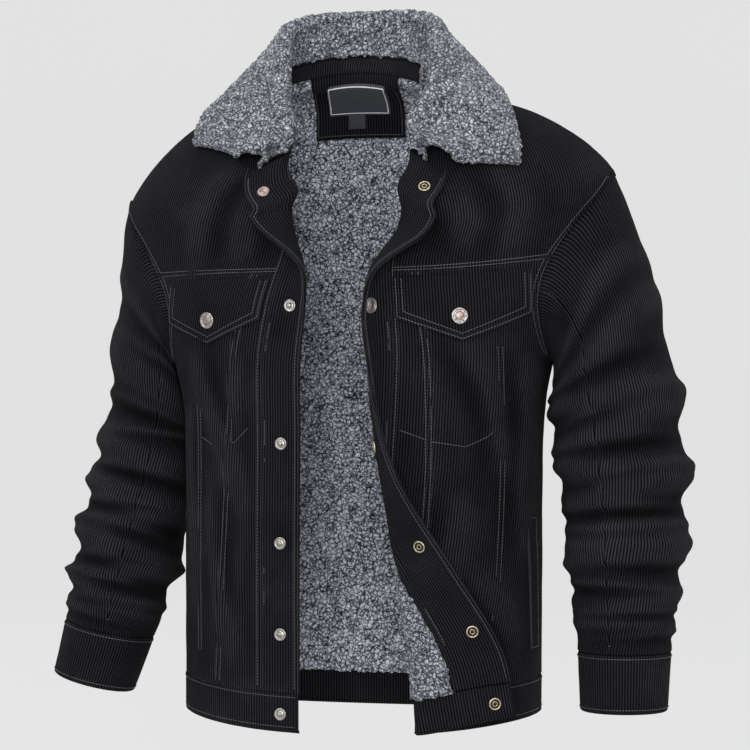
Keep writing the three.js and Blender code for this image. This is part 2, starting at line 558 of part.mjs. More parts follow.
// Collar: a stand from the neck seam up to the roll, and a fall from there out over the shoulders.
const rollRadius = 5;
const standEnd = 0.25;
const standBulge = 0.04;
const rollEnd = 0.42;
const seamLift = 4;
const standInset = 5.3;
const lapelStandOff = 5;         // how far the collar's end stands off the lapel
const endBow = 9;                // degrees that the collar's front end bows down over the chest
const up = new THREE.Vector3(0, 0, 1);
function torsoNormal(hand, angle, t) {
  const around = torsoPoint(hand, angle + 1, t).sub(torsoPoint(hand, angle - 1, t));
  const rising = torsoPoint(hand, angle, Math.min(1, t + 0.005)).sub(torsoPoint(hand, angle, t - 0.005));
  return around.cross(rising).normalize().multiplyScalar(-hand);
}
function collarFrame(side) {
  const hand = side < 0 ? -1 : 1;
  const share = Math.abs(side);
  const table = hand > 0 ? leftCollar : rightCollar;
  const get = (name) => read(table, 'share', name, share);
  const endAngle = read(hand > 0 ? leftFront : rightFront, 't', 'edge', 1);
  const neckAngle = mix(-90, endAngle, Math.min(1, share / collarSeamEnd));
  const { length } = frontRow(hand, 1);
  const past = Math.max(0, share - collarSeamEnd) / (1 - collarSeamEnd);
  const reach = mix(length, hand > 0 ? lapelReach.left : lapelReach.right, past);
  const frontShare = neckAngle / endAngle;
  const spread = neckAngle > 0 ? read(leftFront, 't', 'spread', 1) * smooth(frontShare) : 0;
  const ground = torsoPoint(hand, neckAngle, 1);
  if (hand > 0) ground.x += spread;
  const seam = past > 0 ? frontPoint(hand, reach, 1) : ground.clone();
  const onward = frontPoint(hand, reach, 1).sub(frontPoint(hand, reach, 0.985)).normalize();
  const shown = frontSurface(hand)(reach, 0.99).normal.multiplyScalar(-smooth(past * 1.5) * lapelStandOff);
  const roll = new THREE.Vector3(get('rollX'), get('rollY'), get('rollZ'))
    .lerp(seam.clone().addScaledVector(onward, 12).add(shown), smooth(past * 2.5));
  const edge = torsoPoint(hand, get('angle'), get('t'));
  const bodySide = torsoNormal(hand, neckAngle, 1);
  const out = edge.clone().sub(seam).setZ(0).normalize().multiplyScalar(0.5).add(bodySide).normalize();
  const level = out.clone().setZ(0).normalize();
  const inset = seam.clone().addScaledVector(up, seamLift).addScaledVector(level, -standInset);
  const atFront = seam.clone().addScaledVector(onward, mix(6, 3, past));
  const start = inset.lerp(atFront, smooth((share - 0.62) / 0.14)).add(shown);
  const rise = roll.clone().sub(start);
  rise.addScaledVector(out, -rise.dot(out)).normalize();
  return { hand, get, ground, start, roll, out, rise, neckAngle, past };
}
function groundPoint(frame, w) {
  const { hand, get, neckAngle, ground } = frame;
  const angle = mix(neckAngle, get('angle'), w) + endBow * frame.past * Math.sin(Math.PI * w ** 1.6);
  const t = mix(1, get('t'), w);
  const point = torsoPoint(hand, angle, t);
  const apart = ground.clone().sub(torsoPoint(hand, neckAngle, 1));
  const lift = get('lift') * Math.max(frame.past, smooth(w * 1.5));
  return point.addScaledVector(apart, 1 - w).addScaledVector(torsoNormal(hand, angle, t), lift);
}
function collarPoint(side, w) {
  const frame = collarFrame(side);
  const { start, roll, out, rise, ground } = frame;
  if (w <= standEnd) {
    const k = w / standEnd;
    const bulge = standBulge * roll.distanceTo(start) * Math.sin(Math.PI * k);
    return start.lerp(roll, k).addScaledVector(out, bulge);
  }
  const centre = roll.clone().addScaledVector(out, rollRadius);
  const turn = Math.PI * clamp((w - standEnd) / (rollEnd - standEnd), 0, 1);
  if (w < rollEnd) {
    return centre.addScaledVector(out, -rollRadius * Math.cos(turn))
      .addScaledVector(rise, rollRadius * Math.sin(turn));
  }
  const k = (w - rollEnd) / (1 - rollEnd);
  const above = roll.clone().sub(ground).addScaledVector(out, 2 * rollRadius);
  return groundPoint(frame, k).addScaledVector(above, (1 - k) ** 1.25);
}
const collarSurface = withNormal(collarPoint, 0.006, 0.006, 1);
const halfShares = [0.1, 0.2, 0.3, 0.4, 0.5, 0.58, 0.66, 0.73, 0.8, 0.86, 0.93, 1];
const collarShares = [...halfShares.map((share) => -share).reverse(), 0, ...halfShares];
const bandWidth = (side) => 0.11 * (1 - smooth((Math.abs(side) - 0.48) / 0.14));
const bandShare = 0.54;
const underDepth = { outside: -0.6, inside: -2.1 };
const bandDepth = { outside: 1.9, inside: 0.3 };
const pileDepth = { inside: 0.8, edge: 2.9, full: 6.8, within: 0.08 };
function addCollar() {
  const turned = (side, w) => collarSurface(side, clamp(w, 0.006, 0.994));
  const across = (rowsAt, outsideAt, inside, shares) => {
    const grid = (depthAt) => shares.map((side) => rowsAt(side).map((w) => {
      const { point, normal } = turned(side, w);
      return point.addScaledVector(normal, depthAt(w));
    }));
    return wall(grid(outsideAt), grid(() => inside));
  };
  const pile = (w) => mix(pileDepth.edge, pileDepth.full, Math.min(1, w / pileDepth.within));
  const firstSpot = (side) => mix(0.006, 0.11, smooth((Math.abs(side) - collarSeamEnd) / 0.05));
  const spots = [0.13, 0.25, 0.292, 0.335, 0.378, 0.42, 0.54, 0.68, 0.84, 1];
  add('collar_under', across((side) => [firstSpot(side), ...spots], () => underDepth.outside,
    underDepth.inside, collarShares), 'corduroy');
  add('collar_upper', across((side) => [bandWidth(side) + 0.012, ...spots], pile,
    pileDepth.inside, collarShares), 'sherpa');
  add('neck_band', across((side) => [0.006, bandWidth(side) / 2, bandWidth(side)], () => bandDepth.outside,
    bandDepth.inside, collarShares.filter((side) => Math.abs(side) < bandShare)), 'corduroy');
}
addCollar();

// What lies on a surface: columns between two sides, rows from a top to a bottom that may differ
// from column to column.
function overlay(surface, columns, rowCount, topAt, bottomAt, { outside, thickness }) {
  const grid = (depth) => evenly(rowCount, 0, 1).map((k) => columns.map((u) => {
    const { point, normal } = surface(u, mix(topAt(u), bottomAt(u), k));
    return point.addScaledVector(normal, depth);
  }));
  return wall(grid(outside), grid(outside - thickness));
}

// Breast pocket flaps, pointed at the foot, and welts of the side pockets.
const flapTop = 0.664;
const flapSide = 0.586;
const flapPoint = 0.544;
const flaps = {
  left: { from: 46, to: 188, point: 112 },
  right: { from: 50, to: 172, point: 108 },
};
const weltTop = 0.278;
const weltBottom = 0.092;
const weltWidth = 22;
const welts = { left: { top: 202, bottom: 234 }, right: { top: 196, bottom: 222 } };
const laidOn = 0.8;              // clear height of a piece laid on the shell
const flapThickness = 1.8;
const weltThickness = 1.6;
function addPockets(hand, name) {
  const surface = frontSurface(hand);
  const { from, to, point } = flaps[name];
  const columns = [...evenly(5, from, point), ...evenly(5, point, to).slice(1)];
  const aside = (q) => (q < point ? (point - q) / (point - from) : (q - point) / (to - point));
  const flapBottom = (q) => mix(flapPoint, flapSide, aside(q));
  add('pocket_flap_' + name, overlay(surface, columns, 3, () => flapTop, flapBottom,
    { outside: laidOn + flapThickness, thickness: flapThickness }), 'corduroy');
  const { top, bottom } = welts[name];
  const slanted = (u, t) => surface(u + mix(bottom, top, (t - weltBottom) / (weltTop - weltBottom)), t);
  add('pocket_welt_' + name, overlay(slanted, evenly(2, 0, weltWidth), 6, () => weltTop, () => weltBottom,
    { outside: laidOn + weltThickness, thickness: weltThickness }), 'corduroy');
}
for (const { hand, name } of sides) addPockets(hand, name);

// Neck label: a corduroy patch hanging on the back lining, and a plain woven label on it.
function backShareAt(x, t) {
  const half = read(torso, 't', 'half', t);
  const angle = -Math.acos(clamp(Math.abs(x) / half, 0, 1) ** (read(torso, 't', 'square', t) / 2)) / degrees;
  const end = t > underarm ? -armholeAngle(t, armholeBack) : 0;
  return Math.sign(x) * (angle + 90) / (end + 90);
}
const patch = { halfWidth: 49, top: 0.996, bottom: 0.848, depth: -10.3, thickness: 1.6, aside: -5, swing: -16 };
const label = { halfWidth: 34, top: 0.991, bottom: 0.898, thickness: 0.7 };
function addLabel() {
  const middle = (t) => patch.aside + patch.swing * (1 - t) / (1 - patch.bottom);
  const surface = (x, t) => backSurface(backShareAt(x + middle(t), t), t);
  add('label_patch', overlay(surface, evenly(6, -patch.halfWidth, patch.halfWidth), 4, () => patch.top,
    () => patch.bottom, { outside: patch.depth, thickness: patch.thickness }), 'corduroy');
  add('neck_label', overlay(surface, evenly(6, -label.halfWidth, label.halfWidth), 3, () => label.top,
    () => label.bottom, { outside: patch.depth - patch.thickness - 1, thickness: label.thickness }), 'label');
}
addLabel();

// Snaps. A profile is radius and height from the cloth outwards, turned about the snap's axis.
const snapSides = 8;
const profiles = {
  stud: [[0, 0], [snapRadius, 0], [snapRadius, 0.9], [3.6, 1.2], [2.5, 1.6], [2.3, 3.4], [0, 3.7]],
  socket: [[0, 0], [snapRadius, 0], [snapRadius - 0.4, 1.5], [4.2, 1.8], [3.6, 0.9], [0, 0.9]],
  plate: [[0, 0], [snapRadius, 0], [snapRadius - 0.6, 0.9], [0, 1.2]],
  cap: [[0, 0], [capRadius, 0], [capRadius, 0.9], [6.6, 1.7], [6, 1.4], [0, 2.0]],
};
function turned(profile, centre, axis) {
  const side = new THREE.Vector3(0.3, 0, 1).cross(axis).normalize();
  const other = axis.clone().cross(side);
  const ends = [profile[0], profile[profile.length - 1]];
  const middle = profile.slice(1, -1);
  const positions = [];
  const put = ([radius, height], k) => {
    const a = 2 * Math.PI * k / snapSides;
    const p = centre.clone().addScaledVector(axis, height)
      .addScaledVector(side, radius * Math.cos(a)).addScaledVector(other, radius * Math.sin(a));
    positions.push(p.x, p.y, p.z);
  };
  for (const spot of middle) for (let k = 0; k < snapSides; k++) put(spot, k);
  for (const spot of ends) put(spot, 0);
  const [base, top] = [middle.length * snapSides, middle.length * snapSides + 1];
  const faces = [];
  for (let k = 0; k < snapSides; k++) {
    const next = (k + 1) % snapSides;
    faces.push(base, next, k);
    for (let r = 0; r < middle.length - 1; r++) {
      const [a, b] = [r * snapSides + k, r * snapSides + next];
      faces.push(a, b, b + snapSides, a, b + snapSides, a + snapSides);
    }
    const last = (middle.length - 1) * snapSides;
    faces.push(top, last + k, last + next);
  }
  const geometry = new THREE.BufferGeometry();
  geometry.setAttribute('position', new THREE.Float32BufferAttribute(positions, 3));
  geometry.setIndex(faces);
  return volume(geometry) < 0 ? flipped(geometry) : geometry;
}
// A place on a finished piece under a point of a surface, far enough out for a disc to lie clear.
const seat = 0.4;
const probe = 12;
function seatOn(name, point, axis, radius) {
  const mesh = root.getObjectByName(name);
  const ray = new THREE.Raycaster();
  const drop = (from) => {
    ray.set(from.clone().addScaledVector(axis, probe), axis.clone().negate());
    const hit = ray.intersectObject(mesh)[0];
    return hit ? probe - hit.distance : -Infinity;
  };
  const side = new THREE.Vector3(0.3, 0, 1).cross(axis).normalize();
  const other = axis.clone().cross(side);
  let height = drop(point);
  for (let k = 0; k < 2 * snapSides; k++) {
    const a = Math.PI * k / snapSides;
    const rim = point.clone().addScaledVector(side, radius * Math.cos(a))
      .addScaledVector(other, radius * Math.sin(a));
    height = Math.max(height, drop(rim));
  }
  return point.clone().addScaledVector(axis, height + seat);
}

// Places of the snaps up the front edge.
const snapLine = 20;
const snapHeights = [0.024, 0.130, 0.250, 0.380, 0.610, 0.957];
const flapSnap = { q: 111, t: 0.588 };
function addSnaps(hand, name) {
  const surface = frontSurface(hand);
  const place = (kind, finish, label, { q, t }, under, inwards) => {
    const { point, normal } = surface(q, t);
    const axis = inwards ? normal.clone().negate() : normal;
    const profile = profiles[kind];
    add(label, turned(profile, seatOn(under, point, axis, profile[1][0]), axis), finish);
  };
  snapHeights.forEach((t, i) => {
    const onBand = t < waistbandTop;
    const outer = (onBand ? 'waistband_' : 'placket_') + name;
    const inner = (onBand ? 'waistband_' : 'facing_') + name;
    const spot = { q: snapLine, t };
    const number = '_' + (i + 1);
    place(hand > 0 ? 'cap' : 'stud', hand > 0 ? 'copper' : 'silver',
      (hand > 0 ? 'snap_cap' : 'snap_stud') + number, spot, outer, false);
    place(hand > 0 ? 'socket' : 'plate', hand > 0 ? 'brass' : 'copper',
      (hand > 0 ? 'snap_socket' : 'snap_plate') + number, spot, inner, true);
  });
  place('cap', 'copper', 'flap_snap_' + name, flapSnap, 'pocket_flap_' + name, false);
}
for (const { hand, name } of sides) addSnaps(hand, name);

export default root;
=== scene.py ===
import math
import bpy, bmesh
from mathutils import Matrix, Vector, noise


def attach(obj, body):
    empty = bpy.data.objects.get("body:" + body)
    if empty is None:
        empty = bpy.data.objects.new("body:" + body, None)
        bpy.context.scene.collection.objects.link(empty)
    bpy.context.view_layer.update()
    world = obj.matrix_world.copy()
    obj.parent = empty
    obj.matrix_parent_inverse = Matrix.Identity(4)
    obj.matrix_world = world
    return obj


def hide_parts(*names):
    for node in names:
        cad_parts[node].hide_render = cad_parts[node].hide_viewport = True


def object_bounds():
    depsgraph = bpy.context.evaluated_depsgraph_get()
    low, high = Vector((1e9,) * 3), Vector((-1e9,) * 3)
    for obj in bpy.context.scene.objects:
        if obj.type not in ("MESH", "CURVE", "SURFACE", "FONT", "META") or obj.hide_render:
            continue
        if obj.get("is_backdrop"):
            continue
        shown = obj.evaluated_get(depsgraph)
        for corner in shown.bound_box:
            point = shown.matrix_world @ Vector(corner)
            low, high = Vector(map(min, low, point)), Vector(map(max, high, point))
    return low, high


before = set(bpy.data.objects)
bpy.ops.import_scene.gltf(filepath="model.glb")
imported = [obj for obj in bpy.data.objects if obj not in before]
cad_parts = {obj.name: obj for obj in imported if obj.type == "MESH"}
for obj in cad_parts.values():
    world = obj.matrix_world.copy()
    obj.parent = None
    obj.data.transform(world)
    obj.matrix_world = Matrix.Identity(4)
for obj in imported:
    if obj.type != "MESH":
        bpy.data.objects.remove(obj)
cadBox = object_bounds()
mm = 0.001
print("frame loaded")

# camera and stage
view = {"aim": (0.024, 0.006, -0.299), "azimuth": 13, "elevation": 1.5, "distance": 3.6, "lens": 165.9}


def placeCamera():
    azimuth, elevation = math.radians(view["azimuth"]), math.radians(view["elevation"])
    ahead = Vector((-math.sin(azimuth) * math.cos(elevation), math.cos(azimuth) * math.cos(elevation), -math.sin(elevation)))
    data = bpy.data.cameras.new("camera")
    data.lens, data.sensor_width, data.clip_end = view["lens"], 36, 40
    camera = bpy.data.objects.new("camera", data)
    camera.location = Vector(view["aim"]) - ahead * view["distance"]
    camera.rotation_euler = ahead.to_track_quat("-Z", "Y").to_euler()
    bpy.context.collection.objects.link(camera)
    bpy.context.scene.camera = camera
    return ahead


ahead = placeCamera()

# sections of the torso and the edges, as in the part's source, in millimetres


class Table:
    def __init__(self, names, rows):
        self.names, self.rows, self.kept = names.split(), rows, {}

    def at(self, place):
        key = round(place, 5)
        if key not in self.kept:
            rows = self.rows
            v = min(rows[-1][0], max(rows[0][0], place))
            i = 0
            while i < len(rows) - 2 and v > rows[i + 1][0]:
                i += 1
            low, high = rows[i], rows[i + 1]
            gap = high[0] - low[0]
            k = (v - low[0]) / gap
            found = {}
            for n, name in enumerate(self.names):
                def slope(j):
                    a, b = rows[max(0, j - 1)], rows[min(len(rows) - 1, j + 1)]
                    return (b[n] - a[n]) / (b[0] - a[0])
                found[name] = ((2 * k**3 - 3 * k * k + 1) * low[n] + (k**3 - 2 * k * k + k) * gap * slope(i)
                               + (3 * k * k - 2 * k**3) * high[n] + (k**3 - k * k) * gap * slope(i + 1))
            self.kept[key] = found
        return self.kept[key]


torso = Table("t z half front back x y dropFront dropBack lean square", [
    (0.00, -648, 187, 118, 120, 9, 15, -14, -10, 0, 2.3),
    (0.20, -500, 188, 120, 119, 9, 17, -8, -6, 0, 2.3),
    (0.40, -350, 189, 124, 117, 9, 20, -2, 0, 0, 2.3),
    (0.50, -285, 199, 126, 114, 9, 22, -4, 0, -8, 2.3),
    (0.58, -235, 217, 126, 108, 10, 25, -8, 0, -16, 2.3),
    (0.66, -185, 236, 124, 100, 11, 27, -14, 2, -26, 2.25),
    (0.74, -130, 251, 121, 88, 12, 29, -40, 6, -28, 2.2),
    (0.80, -86, 256, 118, 77, 13, 29, -62, 10, -30, 2.15),
    (0.90, -30, 188, 104, 72, 7, 16, -84, 12, -18, 2.1),
    (1.00, 0, 82, 84, 58, -3, 4, -100, 14, 0, 2.0)])
frontNames = "t edge turn radius length wrap fall seam spread"
fronts = {1: Table(frontNames, [
    (0.00, 65, 168, 7, 116, 30, 12, 0, 0), (0.10, 66, 164, 7, 103, 26, 8, 0, 0), (0.22, 70, 154, 9, 76, 12, 3, 0, 0),
    (0.36, 74, 128, 15, 50, 2, 0, 0, 0), (0.50, 77, 100, 17, 38, 0, 0, 0, 0), (0.60, 80, 94, 17, 36, 0, 0, 0, 0),
    (0.72, 79, 122, 14, 46, 0, -6, 0, 0), (0.86, 72, 146, 9, 58, 6, -26, 0, 2), (0.93, 67, 142, 9, 59, 7, -36, 0, 12),
    (1.00, 50, 136, 9, 60, 8, -50, 0, 32)]),
    -1: Table(frontNames, [
    (0.00, 78, 6, 60, 8, 0, 0, -26, 0), (0.10, 78, 6, 60, 8, 0, 0, -22, 0), (0.22, 78, 6, 60, 8, 0, 0, -16, 0),
    (0.36, 78, 8, 50, 9, 0, 0, -8, 0), (0.50, 78, 16, 36, 12, 0, 0, 0, 0), (0.60, 79, 40, 24, 20, 0, 0, 0, 0),
    (0.72, 79, 96, 16, 38, 0, -4, 0, 0), (0.86, 75, 142, 10, 58, 4, -20, 0, 0), (0.93, 72, 142, 9, 59, 6, -32, 0, 0),
    (1.00, 52, 140, 9, 60, 8, -44, 0, 0)])}
sleeves = {1: Table("s x y z wide deep tilt", [
    (0, 244, 26, -187, 100, 72, 77), (1, 259, 28, -252, 76, 73, 48), (2, 270, 24, -318, 68, 68, 22),
    (3, 281, 18, -386, 65, 64, 8), (4, 287, 8, -454, 61, 60, 2), (5, 289, -4, -518, 55, 54, 0),
    (6, 290, -14, -574, 48, 48, 0), (7, 291, -24, -638, 44, 43, 0)]),
    -1: Table("s x y z wide deep tilt", [
    (0, -222, 26, -200, 92, 72, 77), (1, -214, 60, -256, 70, 74, 46), (2, -220, 76, -320, 62, 70, 20),
    (3, -230, 68, -382, 60, 65, 8), (4, -242, 50, -442, 58, 60, 6), (5, -255, 28, -506, 54, 54, 8),
    (6, -264, 8, -564, 48, 48, 12), (7, -278, -8, -624, 43, 42, 14)])}
# at, rise, spread, side, slant of each fold of a sleeve
sleeveFolds = {1: [
    (1.15, 7, 0.24, 20, 0.45), (1.90, 7, 0.20, 150, 0.30), (2.35, 9, 0.20, 10, 0.25), (2.95, 8, 0.19, 170, 0.30),
    (3.30, 10, 0.20, 10, 0.20), (4.25, 10, 0.22, 30, 0.05), (4.60, 6, 0.18, 190, 0.10), (5.05, 5, 0.16, 0, 0.15),
    (5.50, 4, 0.14, 100, 0.20)],
    -1: [
    (1.70, 8, 0.28, 30, 0.50), (2.95, 8, 0.18, 20, 0.40), (3.60, 10, 0.20, 10, 0.40), (4.05, 6, 0.18, 160, 0.20),
    (4.45, 10, 0.20, 20, 0.50), (4.95, 7, 0.16, 150, 0.20), (5.25, 6, 0.15, 10, 0.35), (5.65, 4, 0.13, 80, 0.25)]}
collarNames = "share rollX rollY rollZ angle t lift"
collars = {1: Table(collarNames, [
    (0.0, -2, 76, 74, -90, 0.930, 12), (0.2, 46, 66, 72, -60, 0.930, 12), (0.4, 76, 36, 63, -25, 0.932, 10),
    (0.5, 84, 14, 54, -4, 0.935, 9), (0.6, 87, -12, 28, 10, 0.925, 8), (0.7, 90, -38, -10, 24, 0.900, 8),
    (0.8, 77, -56, -51, 34, 0.870, 8), (1.0, 92, -72, -80, 40, 0.850, 8)]),
    -1: Table(collarNames, [
    (0.0, -2, 76, 74, -90, 0.930, 12), (0.2, -46, 66, 71, -60, 0.930, 12), (0.4, -68, 38, 61, -25, 0.930, 10),
    (0.5, -70, 16, 52, -4, 0.935, 9), (0.6, -66, -10, 22, 8, 0.930, 8), (0.7, -60, -36, -16, 17, 0.920, 8),
    (0.8, -50, -58, -54, 24, 0.910, 8), (1.0, -80, -72, -80, 30, 0.900, 8)])}
shape = {"waistbandTop": 0.052, "underarm": 0.5, "shoulder": 0.8, "armholeFront": 33, "armholeBack": 30,
         "placket": 42, "facing": 58, "cuffStart": 6.08, "yokeSeam": 0.5 + 0.3 * (1 - math.cos(math.pi * 5 / 9)) / 2,
         "backYokeSeam": 0.5 + 0.3 * (1 - math.cos(math.pi * 6 / 9)) / 2}


def clamp(v, low, high):
    return min(high, max(low, v))


def smooth(v):
    k = clamp(v, 0, 1)
    return k * k * (3 - 2 * k)


def mix(a, b, k):
    return a + (b - a) * k


def signed(v, n):
    return math.copysign(abs(v) ** n, v)


def torsoPoint(hand, angle, t):
    g = torso.at(t)
    c, s = math.cos(math.radians(angle)), math.sin(math.radians(angle))
    n = 2 / g["square"]
    return Vector((g["x"] + hand * g["half"] * signed(c, n),
                   g["y"] - (g["front"] if s > 0 else g["back"]) * signed(s, n),
                   g["z"] + (g["dropFront"] if s > 0 else g["dropBack"]) * s * s + (g["lean"] * c * c if hand < 0 else 0)))


def armholeAngle(t, widest):
    k = (t - shape["underarm"]) / (shape["shoulder"] - shape["underarm"])
    return 0 if k <= 0 or k >= 1 else widest * math.sin(math.pi * k) ** 0.62


rowsKept = {}


def frontRow(hand, t):
    key = (hand, round(t, 5))
    if key in rowsKept:
        return rowsKept[key]
    g = fronts[hand].at(t)
    seam = g["seam"] if t < shape["underarm"] else armholeAngle(t, shape["armholeFront"])
    points = [torsoPoint(hand, seam + 14 * i / 8, t) for i in range(-8, 0)]
    for i in range(45):
        p = torsoPoint(hand, mix(seam, g["edge"], i / 44), t)
        p.x += hand * g["spread"] * smooth(i / 44)
        points.append(p)
    along = (points[-1] - points[-2]).normalized()
    out = Vector((-along.y * hand, along.x * hand, 0)).normalized()
    if out.y > 0:
        out.negate()
    turn, radius, length = math.radians(g["turn"]), g["radius"], g["length"]
    arc = min(length, radius * turn)
    bend = math.radians(g["wrap"]) / max(1, length - arc)
    place, step = points[-1].copy(), length / 60
    for i in range(1, 61):
        run = (i - 0.5) * step
        a = min(run, arc) / radius + max(0, run - arc) * bend
        place = place + along * (step * math.cos(a)) + out * (step * math.sin(a))
        points.append(place + Vector((0, 0, g["fall"] * smooth(i / 60))))
    points.reverse()
    distance = [0]
    for a, b in zip(points, points[1:]):
        distance.append(distance[-1] + (b - a).length)
    rowsKept[key] = {"points": points, "distance": distance, "total": distance[104], "length": length}
    return rowsKept[key]


def frontPoint(hand, q, t):
    row = frontRow(hand, clamp(t, 0, 1))
    distance, points = row["distance"], row["points"]
    low, high = 0, len(points) - 2
    while low < high:
        middle = (low + high) // 2
        if q > distance[middle + 1]:
            low = middle + 1
        else:
            high = middle
    k = (q - distance[low]) / (distance[low + 1] - distance[low])
    return points[low].lerp(points[low + 1], k) if 0 <= k <= 1 else points[low] + (points[low + 1] - points[low]) * k


def withNormal(surface, stepU, stepV, sign):
    def found(u, v):
        du = surface(u + stepU, v) - surface(u - stepU, v)
        dv = surface(u, v + stepV) - surface(u, v - stepV)
        return surface(u, v), du.cross(dv).normalized() * sign
    return found


def frontSurface(hand):
    return withNormal(lambda q, t: frontPoint(hand, q, clamp(t, 0, 1)), 1.5, 0.002, hand)


def backPoint(share, t):
    hand = -1 if share < 0 else 1
    seam = fronts[hand].at(t)["seam"] if t < shape["underarm"] else -armholeAngle(t, shape["armholeBack"])
    return torsoPoint(hand, mix(-90, seam, abs(share)), t)


backSurface = withNormal(lambda u, t: backPoint(u, clamp(t, 0, 1)), 0.01, 0.002, -1)


def armholePoint(hand, around):
    t = shape["underarm"] + (shape["shoulder"] - shape["underarm"]) * (1 + math.cos(math.radians(around))) / 2
    front = math.sin(math.radians(around)) >= 0
    return torsoPoint(hand, armholeAngle(t, shape["armholeFront"]) if front else -armholeAngle(t, shape["armholeBack"]), t)


# smaller creases between the large folds: at, rise, spread, side, slant
creases = {1: [
    (0.75, 2.5, 0.10, 60, 0.5), (1.45, 2.4, 0.09, 120, 0.3), (2.12, 2.6, 0.09, 60, 0.35), (2.62, 2.8, 0.08, 100, 0.25),
    (3.08, 3.0, 0.08, 50, 0.3), (3.60, 3.2, 0.08, 90, 0.3), (3.92, 3.4, 0.09, 60, 0.1), (4.45, 3.4, 0.08, 70, 0.2),
    (4.82, 2.6, 0.08, 110, 0.2), (5.28, 2.4, 0.07, 60, 0.15), (5.72, 1.8, 0.07, 30, 0.15)],
    -1: [
    (0.85, 2.5, 0.10, 70, 0.4), (1.30, 2.2, 0.10, 120, 0.3), (2.20, 3.0, 0.10, 60, 0.5), (2.60, 2.8, 0.08, 120, 0.3),
    (3.25, 3.4, 0.09, 70, 0.5), (3.85, 3.2, 0.08, 90, 0.4), (4.20, 3.2, 0.08, 60, 0.5), (4.72, 3.0, 0.08, 100, 0.4),
    (5.10, 2.6, 0.07, 60, 0.3), (5.45, 2.4, 0.07, 110, 0.3), (5.80, 1.8, 0.06, 60, 0.2)]}


creaseGain = 1.75


def foldHeight(folds, around, s, least=0.25, power=1):
    total = 0
    for at, rise, spread, side, slant in folds:
        strength = (1 + math.cos(math.radians(around - side))) / 2
        k = (s - at - slant * (1 - strength)) / spread
        if -4 < k < 5:
            total += rise * (least + (1 - least) * strength**power) * (math.exp(-k * k) - 0.45 * math.exp(-((k - 1.7) ** 2)))
    return total


heights = [(torso.at(i / 400)["z"], i / 400) for i in range(281)]


def besideTorso(point):
    low, high = 0, len(heights) - 2
    while low < high:
        middle = (low + high) // 2
        if heights[middle + 1][0] < point.z:
            low = middle + 1
        else:
            high = middle
    k = clamp((point.z - heights[low][0]) / (heights[low + 1][0] - heights[low][0]), 0, 1)
    g = torso.at(round(mix(heights[low][1], heights[low + 1][1], k), 4))
    n = g["square"]
    dx, dy = point.x - g["x"], point.y - g["y"]
    reach = ((abs(dx) / g["half"]) ** n + (abs(dy) / g["front" if dy < 0 else "back"]) ** n) ** (1 / n)
    short = 1.022 - reach
    push = (short + math.hypot(short, 0.03)) / 2 / max(reach, 0.3)
    return Vector((point.x + dx * push, point.y + dy * push, point.z))


def sleevePoint(hand, around, s):
    g = sleeves[hand].at(s)
    tilt = math.radians(g["tilt"])
    across, forward = Vector((hand * math.cos(tilt), 0, math.sin(tilt))), Vector((0, -1, 0))
    settle = smooth((s - 0.5) / 1.2)
    nearCuff = smooth((shape["cuffStart"] + 0.1 - s) / 0.5)
    fold = (foldHeight(sleeveFolds[hand], around, s) * settle
            + creaseGain * foldHeight(creases[hand], around, s, 0.05, 1.5) * smooth((s - 0.2) / 0.6)) * nearCuff
    tube = (Vector((g["x"], g["y"], g["z"])) + across * ((g["wide"] + fold) * math.cos(math.radians(around)))
            + forward * ((g["deep"] + fold) * math.sin(math.radians(around))))
    k = clamp(s / 1.15, 0, 1)
    point = armholePoint(hand, around).lerp(tube, 1 - (1 - smooth(k)) ** 1.5)
    return point.lerp(besideTorso(point), smooth((s - 0.05) / 0.5))


def sleeveSurface(hand):
    surface = withNormal(lambda around, s: sleevePoint(hand, around, s), 2, 0.02, hand)

    def found(around, s):
        if s > 0.04:
            return surface(around, s)
        normal = surface(around, 0.04)[1]
        start = armholePoint(hand, around)
        run = (sleevePoint(hand, around, 0.08) - start).normalized()
        crown = ((1 + math.cos(math.radians(around))) / 2) ** 4
        seam = start + run * (1.1 + 3.3 * crown)
        return seam.lerp(surface(around, 0.04)[0], clamp(s / 0.04, 0, 1)), normal
    return found


def torsoNormal(hand, angle, t):
    around = torsoPoint(hand, angle + 1, t) - torsoPoint(hand, angle - 1, t)
    rising = torsoPoint(hand, angle, min(1, t + 0.005)) - torsoPoint(hand, angle, t - 0.005)
    return around.cross(rising).normalized() * -hand


collarKept = {}
lapelReach = {1: 26, -1: 10}


